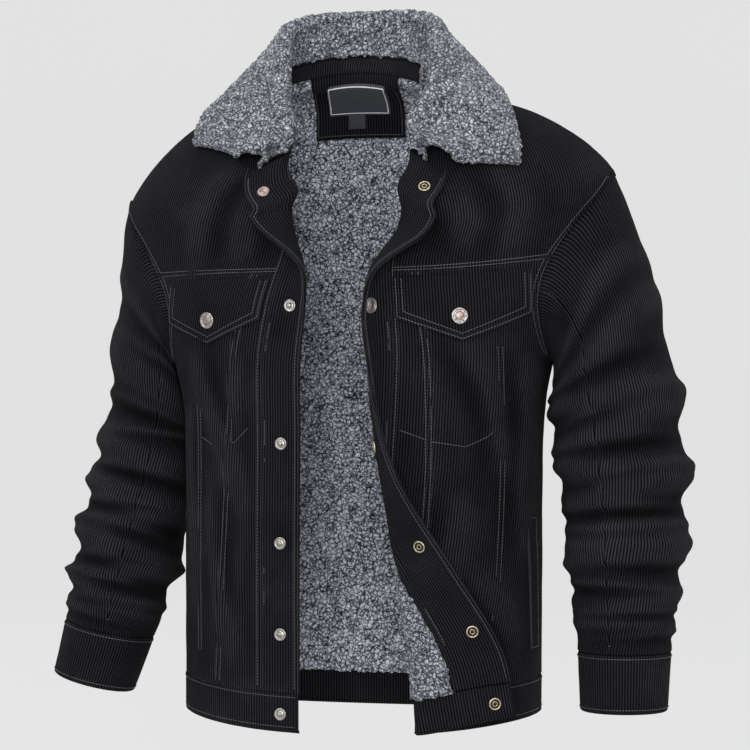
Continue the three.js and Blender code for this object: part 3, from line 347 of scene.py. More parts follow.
def collarFrame(side):
    key = round(side, 5)
    if key in collarKept:
        return collarKept[key]
    hand, share = (-1 if side < 0 else 1), abs(side)
    g = collars[hand].at(share)
    endAngle = fronts[hand].at(1)["edge"]
    neckAngle = mix(-90, endAngle, min(1, share / 0.8))
    past = max(0, share - 0.8) / 0.2
    reach = mix(frontRow(hand, 1)["length"], lapelReach[hand], past)
    spread = fronts[1].at(1)["spread"] * smooth(neckAngle / endAngle) if neckAngle > 0 else 0
    ground = torsoPoint(hand, neckAngle, 1)
    if hand > 0:
        ground.x += spread
    seam = frontPoint(hand, reach, 1) if past > 0 else ground.copy()
    onward = (frontPoint(hand, reach, 1) - frontPoint(hand, reach, 0.985)).normalized()
    shown = frontSurface(hand)(reach, 0.99)[1] * (-smooth(past * 1.5) * 5)
    roll = Vector((g["rollX"], g["rollY"], g["rollZ"])).lerp(seam + onward * 12 + shown, smooth(past * 2.5))
    edge = torsoPoint(hand, g["angle"], g["t"])
    out = edge - seam
    out.z = 0
    out = (out.normalized() * 0.5 + torsoNormal(hand, neckAngle, 1)).normalized()
    level = Vector((out.x, out.y, 0)).normalized()
    start = (seam + Vector((0, 0, 4)) - level * 5.3).lerp(seam + onward * mix(6, 3, past), smooth((share - 0.62) / 0.14)) + shown
    rise = roll - start
    rise = (rise - out * rise.dot(out)).normalized()
    collarKept[key] = (hand, g, ground, start, roll, out, rise, neckAngle, past)
    return collarKept[key]


def groundPoint(frameOf, w):
    hand, g, ground, start, roll, out, rise, neckAngle, past = frameOf
    angle = mix(neckAngle, g["angle"], w) + 9 * past * math.sin(math.pi * max(0, w) ** 1.6)
    t = mix(1, g["t"], w)
    apart = ground - torsoPoint(hand, neckAngle, 1)
    lift = g["lift"] * max(past, smooth(w * 1.5))
    return torsoPoint(hand, angle, t) + apart * (1 - w) + torsoNormal(hand, angle, t) * lift


def collarPoint(side, w):
    f = collarFrame(side)
    hand, g, ground, start, roll, out, rise, neckAngle, past = f
    if w <= 0.25:
        k = w / 0.25
        return start.lerp(roll, k) + out * (0.04 * (roll - start).length * math.sin(math.pi * k))
    if w < 0.42:
        turn = math.pi * clamp((w - 0.25) / 0.17, 0, 1)
        return roll + out * 5 - out * (5 * math.cos(turn)) + rise * (5 * math.sin(turn))
    k = (w - 0.42) / 0.58
    return groundPoint(f, k) + (roll - ground + out * 10) * max(0, 1 - k) ** (1.25 if hand > 0 else 1.42)


collarSurface = withNormal(collarPoint, 0.006, 0.006, 1)


# shader maths


class Socket:
    def __init__(self, nodes, out):
        self.nodes, self.out = nodes, out

    def math(self, operation, *others):
        node = self.nodes.new("ShaderNodeMath")
        node.operation = operation
        for i, v in enumerate((self, *others)):
            if isinstance(v, Socket):
                self.nodes.id_data.links.new(v.out, node.inputs[i])
            else:
                node.inputs[i].default_value = v
        return Socket(self.nodes, node.outputs[0])

    def __add__(self, o): return self.math("ADD", o)
    def __radd__(self, o): return self.math("ADD", o)
    def __sub__(self, o): return self.math("SUBTRACT", o)
    def __rsub__(self, o): return (self * -1) + o
    def __mul__(self, o): return self.math("MULTIPLY", o)
    def __rmul__(self, o): return self.math("MULTIPLY", o)
    def __truediv__(self, o): return self.math("DIVIDE", o)
    def __pow__(self, o): return self.math("POWER", o)
    def sine(self): return self.math("SINE")
    def size(self): return self.math("ABSOLUTE")
    def kept(self, low, high): return self.math("MAXIMUM", low).math("MINIMUM", high)


class Shader:
    def __init__(self, name):
        self.material = bpy.data.materials.new(name)
        self.material.use_nodes = True
        self.tree = self.material.node_tree
        self.nodes = self.tree.nodes
        self.nodes.clear()
        self.end = self.nodes.new("ShaderNodeOutputMaterial")
        self.surface = self.nodes.new("ShaderNodeBsdfPrincipled")
        self.tree.links.new(self.surface.outputs[0], self.end.inputs[0])

    def node(self, kind, settings=None, inputs=None, output=0):
        made = self.nodes.new(kind)
        for name, value in (settings or {}).items():
            if name == "ramp":
                stops = made.color_ramp.elements
                while len(stops) < len(value):
                    stops.new(0.5)
                for stop, (place, colour) in zip(stops, value):
                    stop.position, stop.color = place, (*colour, 1)
            else:
                setattr(made, name, value)
        for name, value in (inputs or {}).items():
            if isinstance(value, Socket):
                self.tree.links.new(value.out, made.inputs[name])
            else:
                made.inputs[name].default_value = value
        return Socket(self.nodes, made.outputs[output])

    def fix(self, **values):
        for name, value in values.items():
            self.surface.inputs[name.replace("_", " ")].default_value = value

    def feed(self, name, value):
        self.tree.links.new(value.out, self.surface.inputs[name])

    def parts(self, vector):
        node = self.nodes.new("ShaderNodeSeparateXYZ")
        self.tree.links.new(vector.out, node.inputs[0])
        return [Socket(self.nodes, o) for o in node.outputs]

    def noise(self, vector, scale, detail=2, roughness=0.5):
        return self.node("ShaderNodeTexNoise", {}, {"Vector": vector, "Scale": scale, "Detail": detail, "Roughness": roughness})

    def between(self, factor, a, b):
        node = self.nodes.new("ShaderNodeMix")
        node.data_type = "RGBA"
        self.tree.links.new(factor.out, node.inputs[0])
        for i, v in ((6, a), (7, b)):
            if isinstance(v, Socket):
                self.tree.links.new(v.out, node.inputs[i])
            else:
                node.inputs[i].default_value = (*v, 1)
        return Socket(self.nodes, node.outputs[2])


# black corduroy: wales along the cloth, painted highlight on their crowns and painted shade in their grooves; wear and
# painted highlight of fold crests make the crowns paler, painted shade of fold troughs darkens the cloth
# pale colour: wear and painted highlight on fold crests; darkest colour: painted shade in fold troughs and random
# darker nap
corduroyLook = {"pitch": 2.95, "groove": (0.0009, 0.0009, 0.0011), "wale": (0.0170, 0.0164, 0.0195), "worn": (0.046, 0.045, 0.050),
                "shade": (0.0008, 0.0008, 0.0010), "depth": 0.9}


def corduroyMaterial():
    s = Shader("corduroy")
    cloth = s.node("ShaderNodeUVMap", {"uv_map": "cloth"})
    across, along, free = s.parts(cloth)
    place = s.node("ShaderNodeTexCoord", {}, {}, 3)
    wander = s.noise(cloth, 9, 2) * 0.35
    phase = (across * (1000 / corduroyLook["pitch"]) + wander) * math.pi
    wale = phase.sine().size() ** 1.9
    slub = s.noise(s.node("ShaderNodeMapping", {}, {"Vector": cloth, "Scale": (1, 0.12, 1)}), 900, 3, 0.6)
    nap = s.noise(place, 420, 3, 0.6)
    brushed = s.noise(place, 16, 3, 0.55)
    # vertex attribute: wear at seams and edges plus painted fold shading, positive for painted highlight on fold
    # crests, negative for painted shade in fold troughs
    worn = s.node("ShaderNodeAttribute", {"attribute_name": "worn"}, {}, 2)
    grain = ((s.noise(cloth, 1500, 2, 0.6) - 0.5) * 2.4 + 0.5).kept(0, 1)
    crown = (wale * (0.12 + slub * 0.75 + grain * 0.75)).kept(0, 1)
    # near-black grooves are painted shade and paler crowns are painted highlight, varied by random slub and grain
    colour = s.between(crown, corduroyLook["groove"], corduroyLook["wale"])
    # paler on the wale crowns: wear, random brushed nap and painted highlight on fold crests
    wear_and_fold_highlight = (worn.kept(0, 1) * (0.4 + slub) + (brushed - 0.54).kept(0, 1) * 1.2).kept(0, 1) * crown
    # darker: painted shade in fold troughs and random brushed patches
    shaded = (worn.kept(-1, 0) * -1 + (0.46 - brushed).kept(0, 1) * 1.6).kept(0, 0.92)
    s.feed("Base Color", s.between(shaded, s.between(wear_and_fold_highlight, colour, corduroyLook["worn"]), corduroyLook["shade"]))
    s.feed("Roughness", (0.97 - wale * 0.16 + nap * 0.06).kept(0, 1))
    height = wale * 0.8 + slub * 0.14 + nap * 0.16
    s.feed("Normal", s.node("ShaderNodeBump", {}, {"Strength": 0.85, "Distance": corduroyLook["depth"] * mm, "Height": height}))
    s.fix(Sheen_Weight=0.012, Sheen_Roughness=0.4, Sheen_Tint=(0.75, 0.76, 0.85, 1), Specular_IOR_Level=0.03)
    return s.material


# blue-grey curly sherpa: dark between the curls with painted shade, pale on their tips with painted highlight
sherpaLook = {"deep": (0.012, 0.013, 0.018), "middle": (0.165, 0.175, 0.205), "tip": (0.640, 0.655, 0.700), "tufts": 240}


def sherpaMaterial(name, painted_light_gain):
    s = Shader(name)
    place = s.node("ShaderNodeTexCoord", {}, {}, 3)
    curl = s.node("ShaderNodeAttribute", {"attribute_name": "curl"}, {}, 2)
    stray = s.node("ShaderNodeTexNoise", {}, {"Vector": place, "Scale": 210, "Detail": 2}, 1)
    warped = s.node("ShaderNodeVectorMath", {"operation": "MULTIPLY_ADD"}, {0: stray, 1: (0.007, 0.007, 0.007), 2: place})
    edge = s.node("ShaderNodeTexVoronoi", {"feature": "DISTANCE_TO_EDGE"}, {"Vector": warped, "Scale": sherpaLook["tufts"]})
    fibre = ((s.noise(warped, 800, 3, 0.7) - 0.5) * 2.4 + 0.5).kept(0, 1)
    patches = s.noise(place, 60, 2, 0.5)
    # dark gaps between the tufts and darker low pile (curl) are painted shade, high pile is painted highlight; fibre
    # and patches are random tone
    tuft = (edge * 4.2).kept(0, 1)
    level = (tuft * (0.30 + fibre * 0.58) + (curl - 0.55) * 0.28 + (patches - 0.5) * 0.25).kept(0, 1)
    ramp = [(0.0, sherpaLook["deep"]), (0.40, [min(0.9, v * painted_light_gain) for v in sherpaLook["middle"]]),
            (0.95, [min(0.92, v * painted_light_gain) for v in sherpaLook["tip"]])]
    s.feed("Base Color", s.node("ShaderNodeValToRGB", {"ramp": ramp}, {"Fac": level}))
    s.feed("Roughness", (0.86 + fibre * 0.14).kept(0, 1))
    s.feed("Normal", s.node("ShaderNodeBump", {}, {"Strength": 0.8, "Distance": 0.0012, "Height": tuft * 0.8 + fibre * 0.6}))
    s.fix(Sheen_Weight=0.12, Sheen_Roughness=0.6, Specular_IOR_Level=0.08)
    return s.material


def threadMaterial():
    s = Shader("thread")
    place = s.node("ShaderNodeTexCoord", {}, {}, 3)
    ply = s.noise(place, 1800, 2)
    s.feed("Base Color", s.between(ply, (0.012, 0.012, 0.014), (0.085, 0.083, 0.092)))
    s.feed("Roughness", (0.45 + ply * 0.3).kept(0, 1))
    s.fix(Specular_IOR_Level=0.5)
    return s.material


def metalMaterial(name, dark, pale, rough):
    s = Shader(name)
    place = s.node("ShaderNodeTexCoord", {}, {}, 3)
    stain = s.noise(place, 320, 4, 0.65)
    scratch = s.noise(s.node("ShaderNodeMapping", {}, {"Vector": place, "Scale": (1, 1, 9)}), 700, 2)
    s.feed("Base Color", s.between((stain * 1.6 - 0.35).kept(0, 1), dark, pale))
    s.feed("Roughness", (rough + scratch * 0.22).kept(0, 1))
    s.feed("Normal", s.node("ShaderNodeBump", {}, {"Strength": 0.25, "Distance": 0.0002, "Height": stain + scratch * 0.5}))
    s.fix(Metallic=1.0)
    return s.material


def labelMaterial(name, dark, pale):
    s = Shader(name)
    cloth = s.node("ShaderNodeUVMap", {"uv_map": "cloth"})
    across, along, free = s.parts(cloth)
    weft = (along * (1000 * math.pi / 0.45)).sine().size()
    warp = (across * (1000 * math.pi / 0.6)).sine().size()
    s.feed("Base Color", s.between((weft * 0.6 + warp * 0.4).kept(0, 1), dark, pale))
    s.feed("Roughness", (0.42 + warp * 0.25).kept(0, 1))
    s.feed("Normal", s.node("ShaderNodeBump", {}, {"Strength": 0.4, "Distance": 0.0001, "Height": weft + warp}))
    s.fix(Sheen_Weight=0.2, Specular_IOR_Level=0.4)
    return s.material


def stageMaterial():
    s = Shader("studio")
    place = s.node("ShaderNodeTexCoord", {}, {}, 3)
    s.feed("Base Color", s.between(s.noise(place, 2, 2), (0.09, 0.09, 0.09), (0.10, 0.10, 0.10)))
    s.fix(Roughness=0.95, Emission_Color=(1, 1, 1, 1), Emission_Strength=0.68, Specular_IOR_Level=0.0)
    return s.material


corduroy = corduroyMaterial()
# the back lining's copy has its middle and tip colours 2.5 times brighter: painted light inside the jacket, where the
# lamps reach less; the copy on the collar and front linings is not brightened
sherpa = sherpaMaterial("sherpa", 2.5)
sherpaCollar = sherpaMaterial("sherpa-collar", 1.0)
thread = threadMaterial()
silver = metalMaterial("silver", (0.14, 0.13, 0.12), (0.56, 0.54, 0.51), 0.26)
brass = metalMaterial("brass", (0.24, 0.19, 0.11), (0.66, 0.60, 0.45), 0.26)
copper = metalMaterial("copper", (0.19, 0.14, 0.12), (0.46, 0.36, 0.33), 0.34)
# near-black metal for the socket's cup inside its ring: painted shade in the recess
shadowed = metalMaterial("painted-shade-metal", (0.012, 0.011, 0.010), (0.060, 0.055, 0.050), 0.4)
labelCloth = labelMaterial("label", (0.010, 0.011, 0.016), (0.026, 0.028, 0.038))
labelBorder = labelMaterial("label-border", (0.42, 0.43, 0.44), (0.62, 0.63, 0.64))
print("materials made")


# cloth pieces: a grid shaped on its surface


def spots(low, high, step, seams=()):
    count = max(2, round(abs(high - low) / step))
    found = {round(mix(low, high, i / count), 5) for i in range(count + 1)}
    for seam in seams:
        if min(low, high) < seam < max(low, high):
            found.add(round(seam, 5))
    return sorted(found)


def gridMesh(columns, rowCount, attribute):
    bm = bmesh.new()
    layer, shade = bm.loops.layers.uv.new("cloth"), bm.verts.layers.float.new(attribute)
    bmesh.ops.create_grid(bm, x_segments=columns - 1, y_segments=rowCount - 1, size=1)
    bm.verts.ensure_lookup_table()
    index = {}
    for v in bm.verts:
        index[v] = (round((v.co.x + 1) / 2 * (columns - 1)), round((v.co.y + 1) / 2 * (rowCount - 1)))
    return bm, index, layer, shade


def finish(bm, name, material, replaced, smoothed=True):
    mesh = bpy.data.meshes.new(name)
    bm.to_mesh(mesh)
    bm.free()
    mesh.materials.append(material)
    if smoothed:
        mesh.shade_smooth()
    piece = bpy.data.objects.new(name, mesh)
    bpy.context.collection.objects.link(piece)
    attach(piece, "root")
    if replaced:
        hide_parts(*replaced)
    return piece


def clothPiece(name, pointAt, us, vs, clothAt, outward, replaced, material=None, slot="corduroy", thickness=1.4,
               offset=0, height=None, attribute="worn", value=None, held="hung", pile=0, closed=False):
    columns = len(us(vs[0])) if callable(us) else len(us)
    grid = []
    for v in vs:
        row = us(v) if callable(us) else us
        grid.append([pointAt(u, v) for u in row])
    normals = []
    for j in range(len(vs)):
        line = []
        for i in range(columns):
            a, b = grid[j][max(0, i - 1)], grid[j][min(columns - 1, i + 1)]
            c, d = grid[max(0, j - 1)][i], grid[min(len(vs) - 1, j + 1)][i]
            line.append((b - a).cross(d - c).normalized() * outward)
        normals.append(line)
    bm, index, layer, shade = gridMesh(columns, len(vs), attribute)
    flat = {}
    for v, (i, j) in index.items():
        u = (us(vs[j]) if callable(us) else us)[i]
        rise = offset + (height(u, vs[j]) if height else 0)
        here = grid[j][i]
        if pile:
            curl = curlAt(here)
            rise += pile * (curl - 0.5)
            if i in (0, columns - 1) or j in (0, len(vs) - 1):
                inner = grid[min(max(j, 1), len(vs) - 2)][min(max(i, 1), columns - 2)]
                here = here + (here - inner).normalized() * (2.4 * curl - 0.8)
            v[shade] = curl
        else:
            v[shade] = value(u, vs[j]) if value else 0.0
        v.co = (here + normals[j][i] * rise) * mm
        a, b = clothAt(u, vs[j])
        flat[v] = (a * mm, b * mm)
    for face in bm.faces:
        for loop in face.loops:
            loop[layer].uv = flat[loop.vert]
    bm.normal_update()
    agree = 0
    for v, (i, j) in list(index.items())[::17]:
        agree += 1 if v.normal.dot(normals[j][i]) > 0 else -1
    if agree < 0:
        bmesh.ops.reverse_faces(bm, faces=bm.faces[:])
    area = sum(f.calc_area() for f in bm.faces)
    wide = max(sum((grid[j][i + 1] - grid[j][i]).length for i in range(columns - 1)) for j in range(0, len(vs), max(1, len(vs) // 12))) * mm
    tall = max(sum((grid[j + 1][i] - grid[j][i]).length for j in range(len(vs) - 1)) for i in range(0, columns, max(1, columns // 12))) * mm
    base = 0
    for j in range(len(vs) - 1):
        for i in range(columns - 1):
            base += (grid[j][i + 1] - grid[j][i]).cross(grid[j + 1][i] - grid[j][i]).length
    base *= mm * mm
    if closed:
        bmesh.ops.remove_doubles(bm, verts=bm.verts[:], dist=1e-5)
    piece = finish(bm, name + "_cloth", material or corduroy, replaced)
    if thickness:
        solid = piece.modifiers.new("thickness", "SOLIDIFY")
        solid.thickness, solid.offset, solid.use_rim = thickness * mm, -1, True
    if min(wide, tall) > 0.0101:
        wide = max(wide, base / tall)
        clamp(round(base, 5), round(0.3 * wide * tall, 5) + 1e-5, round(wide * tall, 5))
        sheets.append((name, round(wide, 3), round(tall, 3), round(base, 4)))
    return piece


sheets = []
seamLook = {"ridge": 0.55, "width": 7.5, "edge": 0.9, "puff": 0.25}


def lapped(distance):
    if distance > seamLook["width"] + 2.5:
        return 0
    drop = smooth((seamLook["width"] + 1.6 - distance) / 2)
    edge = -seamLook["ridge"] * 1.5 * math.exp(-((max(0, distance) / seamLook["edge"]) ** 2))
    middle = seamLook["puff"] * math.sin(math.pi * clamp(distance / seamLook["width"], 0, 1))
    return seamLook["ridge"] * drop + edge + middle


def rolled(distance):
    return -0.8 * math.exp(-((max(0, distance) / 0.8) ** 2))


seamOffsets = (0.0, 0.5, 1.2, 2.2, 4.0, 6.0, 7.2, 8.4, 9.6)


def offsetsBetween(low, high, count, first=True, last=True):
    a = [low + d for d in seamOffsets] if first else [low]
    b = [high - d for d in reversed(seamOffsets)] if last else [high]
    return a + [mix(a[-1], b[0], i / (count + 1)) for i in range(1, count + 1)] + b


def tBetween(low, high, step, first=True, last=True):
    per = 1 / 740
    a = [low + d * per for d in seamOffsets] if first else [low]
    b = [high - d * per for d in reversed(seamOffsets)] if last else [high]
    count = max(1, round((b[0] - a[-1]) * 740 / step))
    return a + [mix(a[-1], b[0], i / (count + 1)) for i in range(1, count + 1)] + b


def curlAt(p):
    near = noise.voronoi(p * (1 / 4.4))[0][0]
    fine = noise.noise(p * (1 / 2.4))
    return clamp(0.95 - 0.9 * (near / 0.66) ** 1.6 + 0.34 * fine + 0.30 * noise.noise(p * (1 / 11)), 0, 1.2)


# soft drapes of the body: q, t where each starts and ends, depth, width (mm), a row each
drapes = {1: [((118, 0.53), (176, 0.34), 3.2, 15), ((186, 0.50), (214, 0.24), 3.4, 18), ((120, 0.30), (96, 0.12), 2.4, 16),
              ((150, 0.20), (206, 0.10), 2.2, 14), ((70, 0.90), (120, 0.74), 2.6, 17), ((150, 0.88), (168, 0.70), 2.2, 15)],
          -1: [((128, 0.52), (74, 0.30), 3.0, 13), ((70, 0.50), (62, 0.26), 2.2, 10), ((110, 0.30), (84, 0.10), 2.8, 13),
               ((150, 0.42), (140, 0.16), 3.0, 15), ((80, 0.92), (96, 0.72), 2.6, 16), ((132, 0.90), (150, 0.70), 2.4, 14),
               ((66, 0.24), (60, 0.10), 1.8, 9)]}


def drapeAt(folds, q, t):
    total = 0
    for (q1, t1), (q2, t2), depth, width in folds:
        ax, ay, bx, by = q1, t1 * 740, q2, t2 * 740
        px, py = q - ax, t * 740 - ay
        dx, dy = bx - ax, by - ay
        length = math.hypot(dx, dy)
        along = (px * dx + py * dy) / length
        away = (px * dy - py * dx) / length + 6 * math.sin(along / 34)
        ends = smooth((along + 30) / 60) * smooth((length + 30 - along) / 60)
        total += depth * ends * (math.exp(-(away / width) ** 2) - 0.7 * math.exp(-((away - 1.5 * width) / width) ** 2))
    return total


def sideSeam(hand, t):
    low = min(t, shape["yokeSeam"])
    seam = mix(104, 90, low / 0.3) if low < 0.3 else mix(90, 72, (low - 0.3) / 0.4)
    share = (seam - shape["facing"]) / (frontRow(hand, low)["total"] - shape["facing"])
    return shape["facing"] + share * (frontRow(hand, t)["total"] - shape["facing"])


def total(hand, t):
    return frontRow(hand, clamp(t, 0, 1))["total"]


def puckers(q, t):
    return 0.35 * noise.noise(Vector((q / 9, t * 740 / 16, 3))) + 0.5 * noise.noise(Vector((q / 30, t * 740 / 45, 9)))


frontStep = {"across": 4.2, "along": 4.6}


def frontPanel(hand, name, lowAt, highAt, low, high, edges, width):
    count = max(1, round((width - 19) / frontStep["across"]))
    columns = lambda t: offsetsBetween(lowAt(t), highAt(t), count)

    def height(q, t):
        h = drapeAt(drapes[hand], q, t) * smooth((q - 48) / 20) + puckers(q, t)
        h += (lapped if edges[0] == "lapped" else rolled)(q - lowAt(t))
        h += (lapped if edges[1] == "lapped" else rolled)(highAt(t) - q)
        h += (lapped if edges[2] == "lapped" else rolled)((t - low) * 740)
        return h + (lapped if edges[3] == "lapped" else rolled)((high - t) * 740)

    def worn(q, t):
        near = min(q - lowAt(t), highAt(t) - q, (t - low) * 740, (high - t) * 740)
        # painted fold shading: darker in the drape troughs, paler on their crests; the other two terms are wear at
        # seams and edges
        shade = clamp(drapeAt(drapes[hand], q, t) * smooth((q - 48) / 20) / 4, -0.7, 0.3)
        return 0.55 * math.exp(-near / 1.6) + 0.12 * math.exp(-abs(near - 7) / 1.2) + shade

    return clothPiece(name, lambda q, t: frontPoint(hand, q, t), columns, tBetween(low, high, frontStep["along"]),
                      lambda q, t: (q, t * 740), hand, [name], height=height, value=worn)


gap = 0.15
perT = 1 / 740
band, yokeAt, backYokeAt = shape["waistbandTop"], shape["yokeSeam"], shape["backYokeSeam"]
sideNames = {1: "left", -1: "right"}
for hand, word in sideNames.items():
    frontPanel(hand, "placket_" + word, lambda t: 0, lambda t: 42 - gap, band + 0.0003, 0.9995, ("rolled", "lapped", "rolled", "rolled"), 42)
    frontPanel(hand, "front_centre_" + word, lambda t: 42 + gap, lambda t, h=hand: sideSeam(h, t) - gap, band + 0.0003, yokeAt - 0.0003,
               ("rolled", "lapped", "rolled", "rolled"), 50)
    frontPanel(hand, "front_side_" + word, lambda t, h=hand: sideSeam(h, t) + gap, lambda t, h=hand: total(h, t) - gap, band + 0.0003,
               yokeAt - 0.0003, ("rolled", "rolled", "rolled", "rolled"), 140)
    frontPanel(hand, "front_yoke_" + word, lambda t: 42 + gap, lambda t, h=hand: total(h, t) - gap, yokeAt + 0.0003, 0.9995,
               ("rolled", "lapped", "lapped", "rolled"), 200)
print("front panels made")


def bandHeight(hand, end):
    def height(q, t):
        return (0.5 + rolled(q) + 2.2 * (rolled((t - 0) * 740) + 0.5 * rolled((band - t) * 740))
                + 0.4 * noise.noise(Vector((q / 12, t * 60, 5))))
    return height


for hand, word in sideNames.items():
    ends = lambda t, h=hand: total(h, t)
    clothPiece("waistband_" + word, lambda q, t, h=hand: frontPoint(h, q, t), lambda t, e=ends: offsetsBetween(0, e(t) - gap, 46),
               tBetween(0, band - 0.0003, 4), lambda q, t: (q, t * 740), hand, ["waistband_" + word], thickness=3.2,
               height=bandHeight(hand, ends))
    clothPiece("facing_" + word, lambda q, t, h=hand: frontPoint(h, q, t), lambda t: offsetsBetween(0, 58 - gap, 9),
               tBetween(band + 0.0003, 0.9995, 4.6), lambda q, t: (q, t * 740), -hand, ["facing_" + word], thickness=1.4, offset=4.0,
               height=lambda q, t: rolled(q) + lapped(58 - q) * 0.8 + puckers(q + 70, t) - drapeAt(drapes[1], q + 40, t) * 0.15,
               value=lambda q, t: 0.4 * math.exp(-min(q, 58 - q) / 1.6))


def arcTable(hand, t):
    steps = 40
    points = [backPoint(hand * i / steps, t) for i in range(steps + 1)]
    lengths = [0]
    for a, b in zip(points, points[1:]):
        lengths.append(lengths[-1] + (b - a).length)
    return lengths


arcsKept = {}


def backArc(share, t):
    key = (share < 0, round(t, 4))
    if key not in arcsKept:
        arcsKept[key] = arcTable(-1 if share < 0 else 1, t)
    lengths = arcsKept[key]
    k = abs(share) * 40
    i = min(39, int(k))
    return math.copysign(mix(lengths[i], lengths[i + 1], k - i), share)


backDrapes = [((-70, 0.66), (-120, 0.30), 3.0, 18), ((86, 0.64), (132, 0.34), 2.8, 17), ((-20, 0.52), (-34, 0.20), 2.0, 20),
              ((40, 0.40), (28, 0.12), 2.2, 18), ((150, 0.28), (120, 0.10), 2.4, 15), ((-150, 0.34), (-132, 0.12), 2.4, 15),
              ((-60, 0.92), (-110, 0.76), 2.2, 15), ((64, 0.92), (108, 0.76), 2.2, 15)]


def backShares(count):
    ends = [0.0, 0.002, 0.005, 0.009, 0.016, 0.024, 0.03, 0.036, 0.042]
    a, b = [-0.9994 + d for d in ends], [0.9994 - d for d in reversed(ends)]
    return a + [mix(a[-1], b[0], i / (count + 1)) for i in range(1, count + 1)] + b


def backPanel(name, low, high, edges, **more):
    def height(u, t):
        q = backArc(u, t)
        side = backArc(math.copysign(1, u), t)
        toSide = abs(side) - abs(q)
        h = drapeAt(backDrapes, q, t) + puckers(q, t)
        h += (lapped if edges[0] == "lapped" else rolled)((t - low) * 740) + (lapped if edges[1] == "lapped" else rolled)((high - t) * 740)
        return h + (lapped(toSide) if t > 0.5 else rolled(toSide))
    # value: wear along the top and bottom seams plus painted fold shading of the back drapes, darker in troughs and
    # paler on crests
    return clothPiece(name, backPoint, backShares(84), tBetween(low, high, 5.0), lambda u, t: (backArc(u, t), t * 740), -1, [name],
                      height=height, value=lambda u, t: 0.5 * math.exp(-min((t - low) * 740, (high - t) * 740) / 1.6)
                      + clamp(drapeAt(backDrapes, backArc(u, t), t) / 4, -0.7, 0.3), **more)


backPanel("back_panel", band + 0.0003, backYokeAt - 0.0003, ("rolled", "rolled"))
backPanel("back_yoke", backYokeAt + 0.0003, 0.9995, ("lapped", "rolled"))
clothPiece("waistband_back", backPoint, backShares(84), tBetween(0, band - 0.0003, 4), lambda u, t: (backArc(u, t), t * 740), -1,
           ["waistband_back"], thickness=3.2, height=lambda u, t: 0.5 + 2.2 * rolled(t * 740) + rolled((band - t) * 740))
print("back made")

seamTurn, gapTurn = 100, 0.16


# painted fold shading of the sleeves: darker in the fold and crease troughs, paler on their crests, and slightly darker
# all over
def sleeveShade(hand, a, s):
    fold = foldHeight(sleeveFolds[hand], a, s) * smooth((s - 0.5) / 1.2) + creaseGain * foldHeight(creases[hand], a, s, 0.05, 1.5)
    return clamp(fold / 7 - 0.10, -0.85, 0.35)


for hand, word in sideNames.items():
    point = sleeveSurface(hand)
    along = lambda s: s * 76.0
    sSpots = [0, 0.008, 0.02, 0.04, 0.07] + [mix(0.1, 6.0, i / 132) for i in range(133)] + [6.03, 6.05, 6.065, 6.077]
    for part, low, high in (("sleeve_top_", -seamTurn, seamTurn), ("sleeve_under_", seamTurn, 360 - seamTurn)):
        middle = (low + high) / 2

        def across(a, s, h=hand):
            g = sleeves[h].at(max(1, s))
            return math.radians(a) * (g["wide"] + g["deep"]) / 2

        def height(a, s, lo=low, hi=high, top=(part == "sleeve_top_")):
            g = math.radians(min(a - lo, hi - a)) * 58
            edge = rolled(g) + rolled(s * 60) + 1.4 * rolled((6.077 - s) * 70)
            return edge + 0.45 * noise.noise(Vector((a / 9, s * 7, 2))) + 0.9 * noise.noise(Vector((a / 34, s * 2.2, 6)))

        count = round((high - low) * 1.05 / 4.4)
        near = [0.0, 0.5, 1.2, 2.2, 4.0, 5.9, 7.1, 8.3, 9.5]
        columns = ([low + gapTurn + d for d in near] + [mix(low + 9.6, high - 9.6, i / (count + 1)) for i in range(1, count + 1)]
                   + [high - gapTurn - d for d in reversed(near)])
        # value: wear along the seams plus painted fold shading
        clothPiece(part + word, lambda a, s, f=point: f(a, s)[0], columns, sSpots, lambda a, s, m=middle: (across(a - m, s), s * 76),
                   hand, [part + word], thickness=1.4, height=height,
                   value=lambda a, s, lo=low, hi=high, h=hand: 0.3 * math.exp(-min(a - lo, hi - a) / 1.5) + sleeveShade(h, a, s))
    ring = sorted(set([6.083, 6.095, 6.12] + [mix(6.15, 6.94, i / 13) for i in range(14)] + [6.965, 6.985, 6.995, 7.0]))
    turn = [i * 4 for i in range(91)]
    clothPiece("cuff_" + word, lambda a, s, f=point: f(a % 360, s)[0], turn, ring,
               lambda a, s, h=hand: (math.radians(a) * 46, s * 76), hand, ["cuff_" + word], thickness=3.0,
               height=lambda a, s: 0.6 + 1.6 * rolled((s - 6.083) * 64) + 2.2 * rolled((7.0 - s) * 64) + 0.3 * noise.noise(Vector((math.cos(math.radians(a)) * 3, math.sin(math.radians(a)) * 3, s * 4))),
               closed=True)
print("sleeves made")


# collar, neck band and linings in curly pile
pileLook = {"collar": 2.1, "lining": 1.7}


def wSpots(low):
    stand = [mix(low, 0.25, i / 26) for i in range(26)]
    roll = [mix(0.25, 0.42, i / 12) for i in range(12)]
    return stand + roll + [mix(0.42, 0.994, i / 50) for i in range(51)]


def sideSpots(limit, count):
    return [mix(-limit, limit, i / count) for i in range(count + 1)]


def bandWidth(side):
    return 0.062 * (1 - smooth((abs(side) - 0.48) / 0.14))


def collarAt(side, w):
    return collarPoint(clamp(side, -0.994, 0.994), clamp(w, 0.006, 0.994))


collarLength = 250
wOf = wSpots(0)


def upperW(side, row):
    low = bandWidth(side) + 0.012
    w = wOf[min(88, round(row * 88))]
    return w if w >= 0.25 else mix(low, 0.25, w / 0.25)


rowList = [i / 88 for i in range(89)]


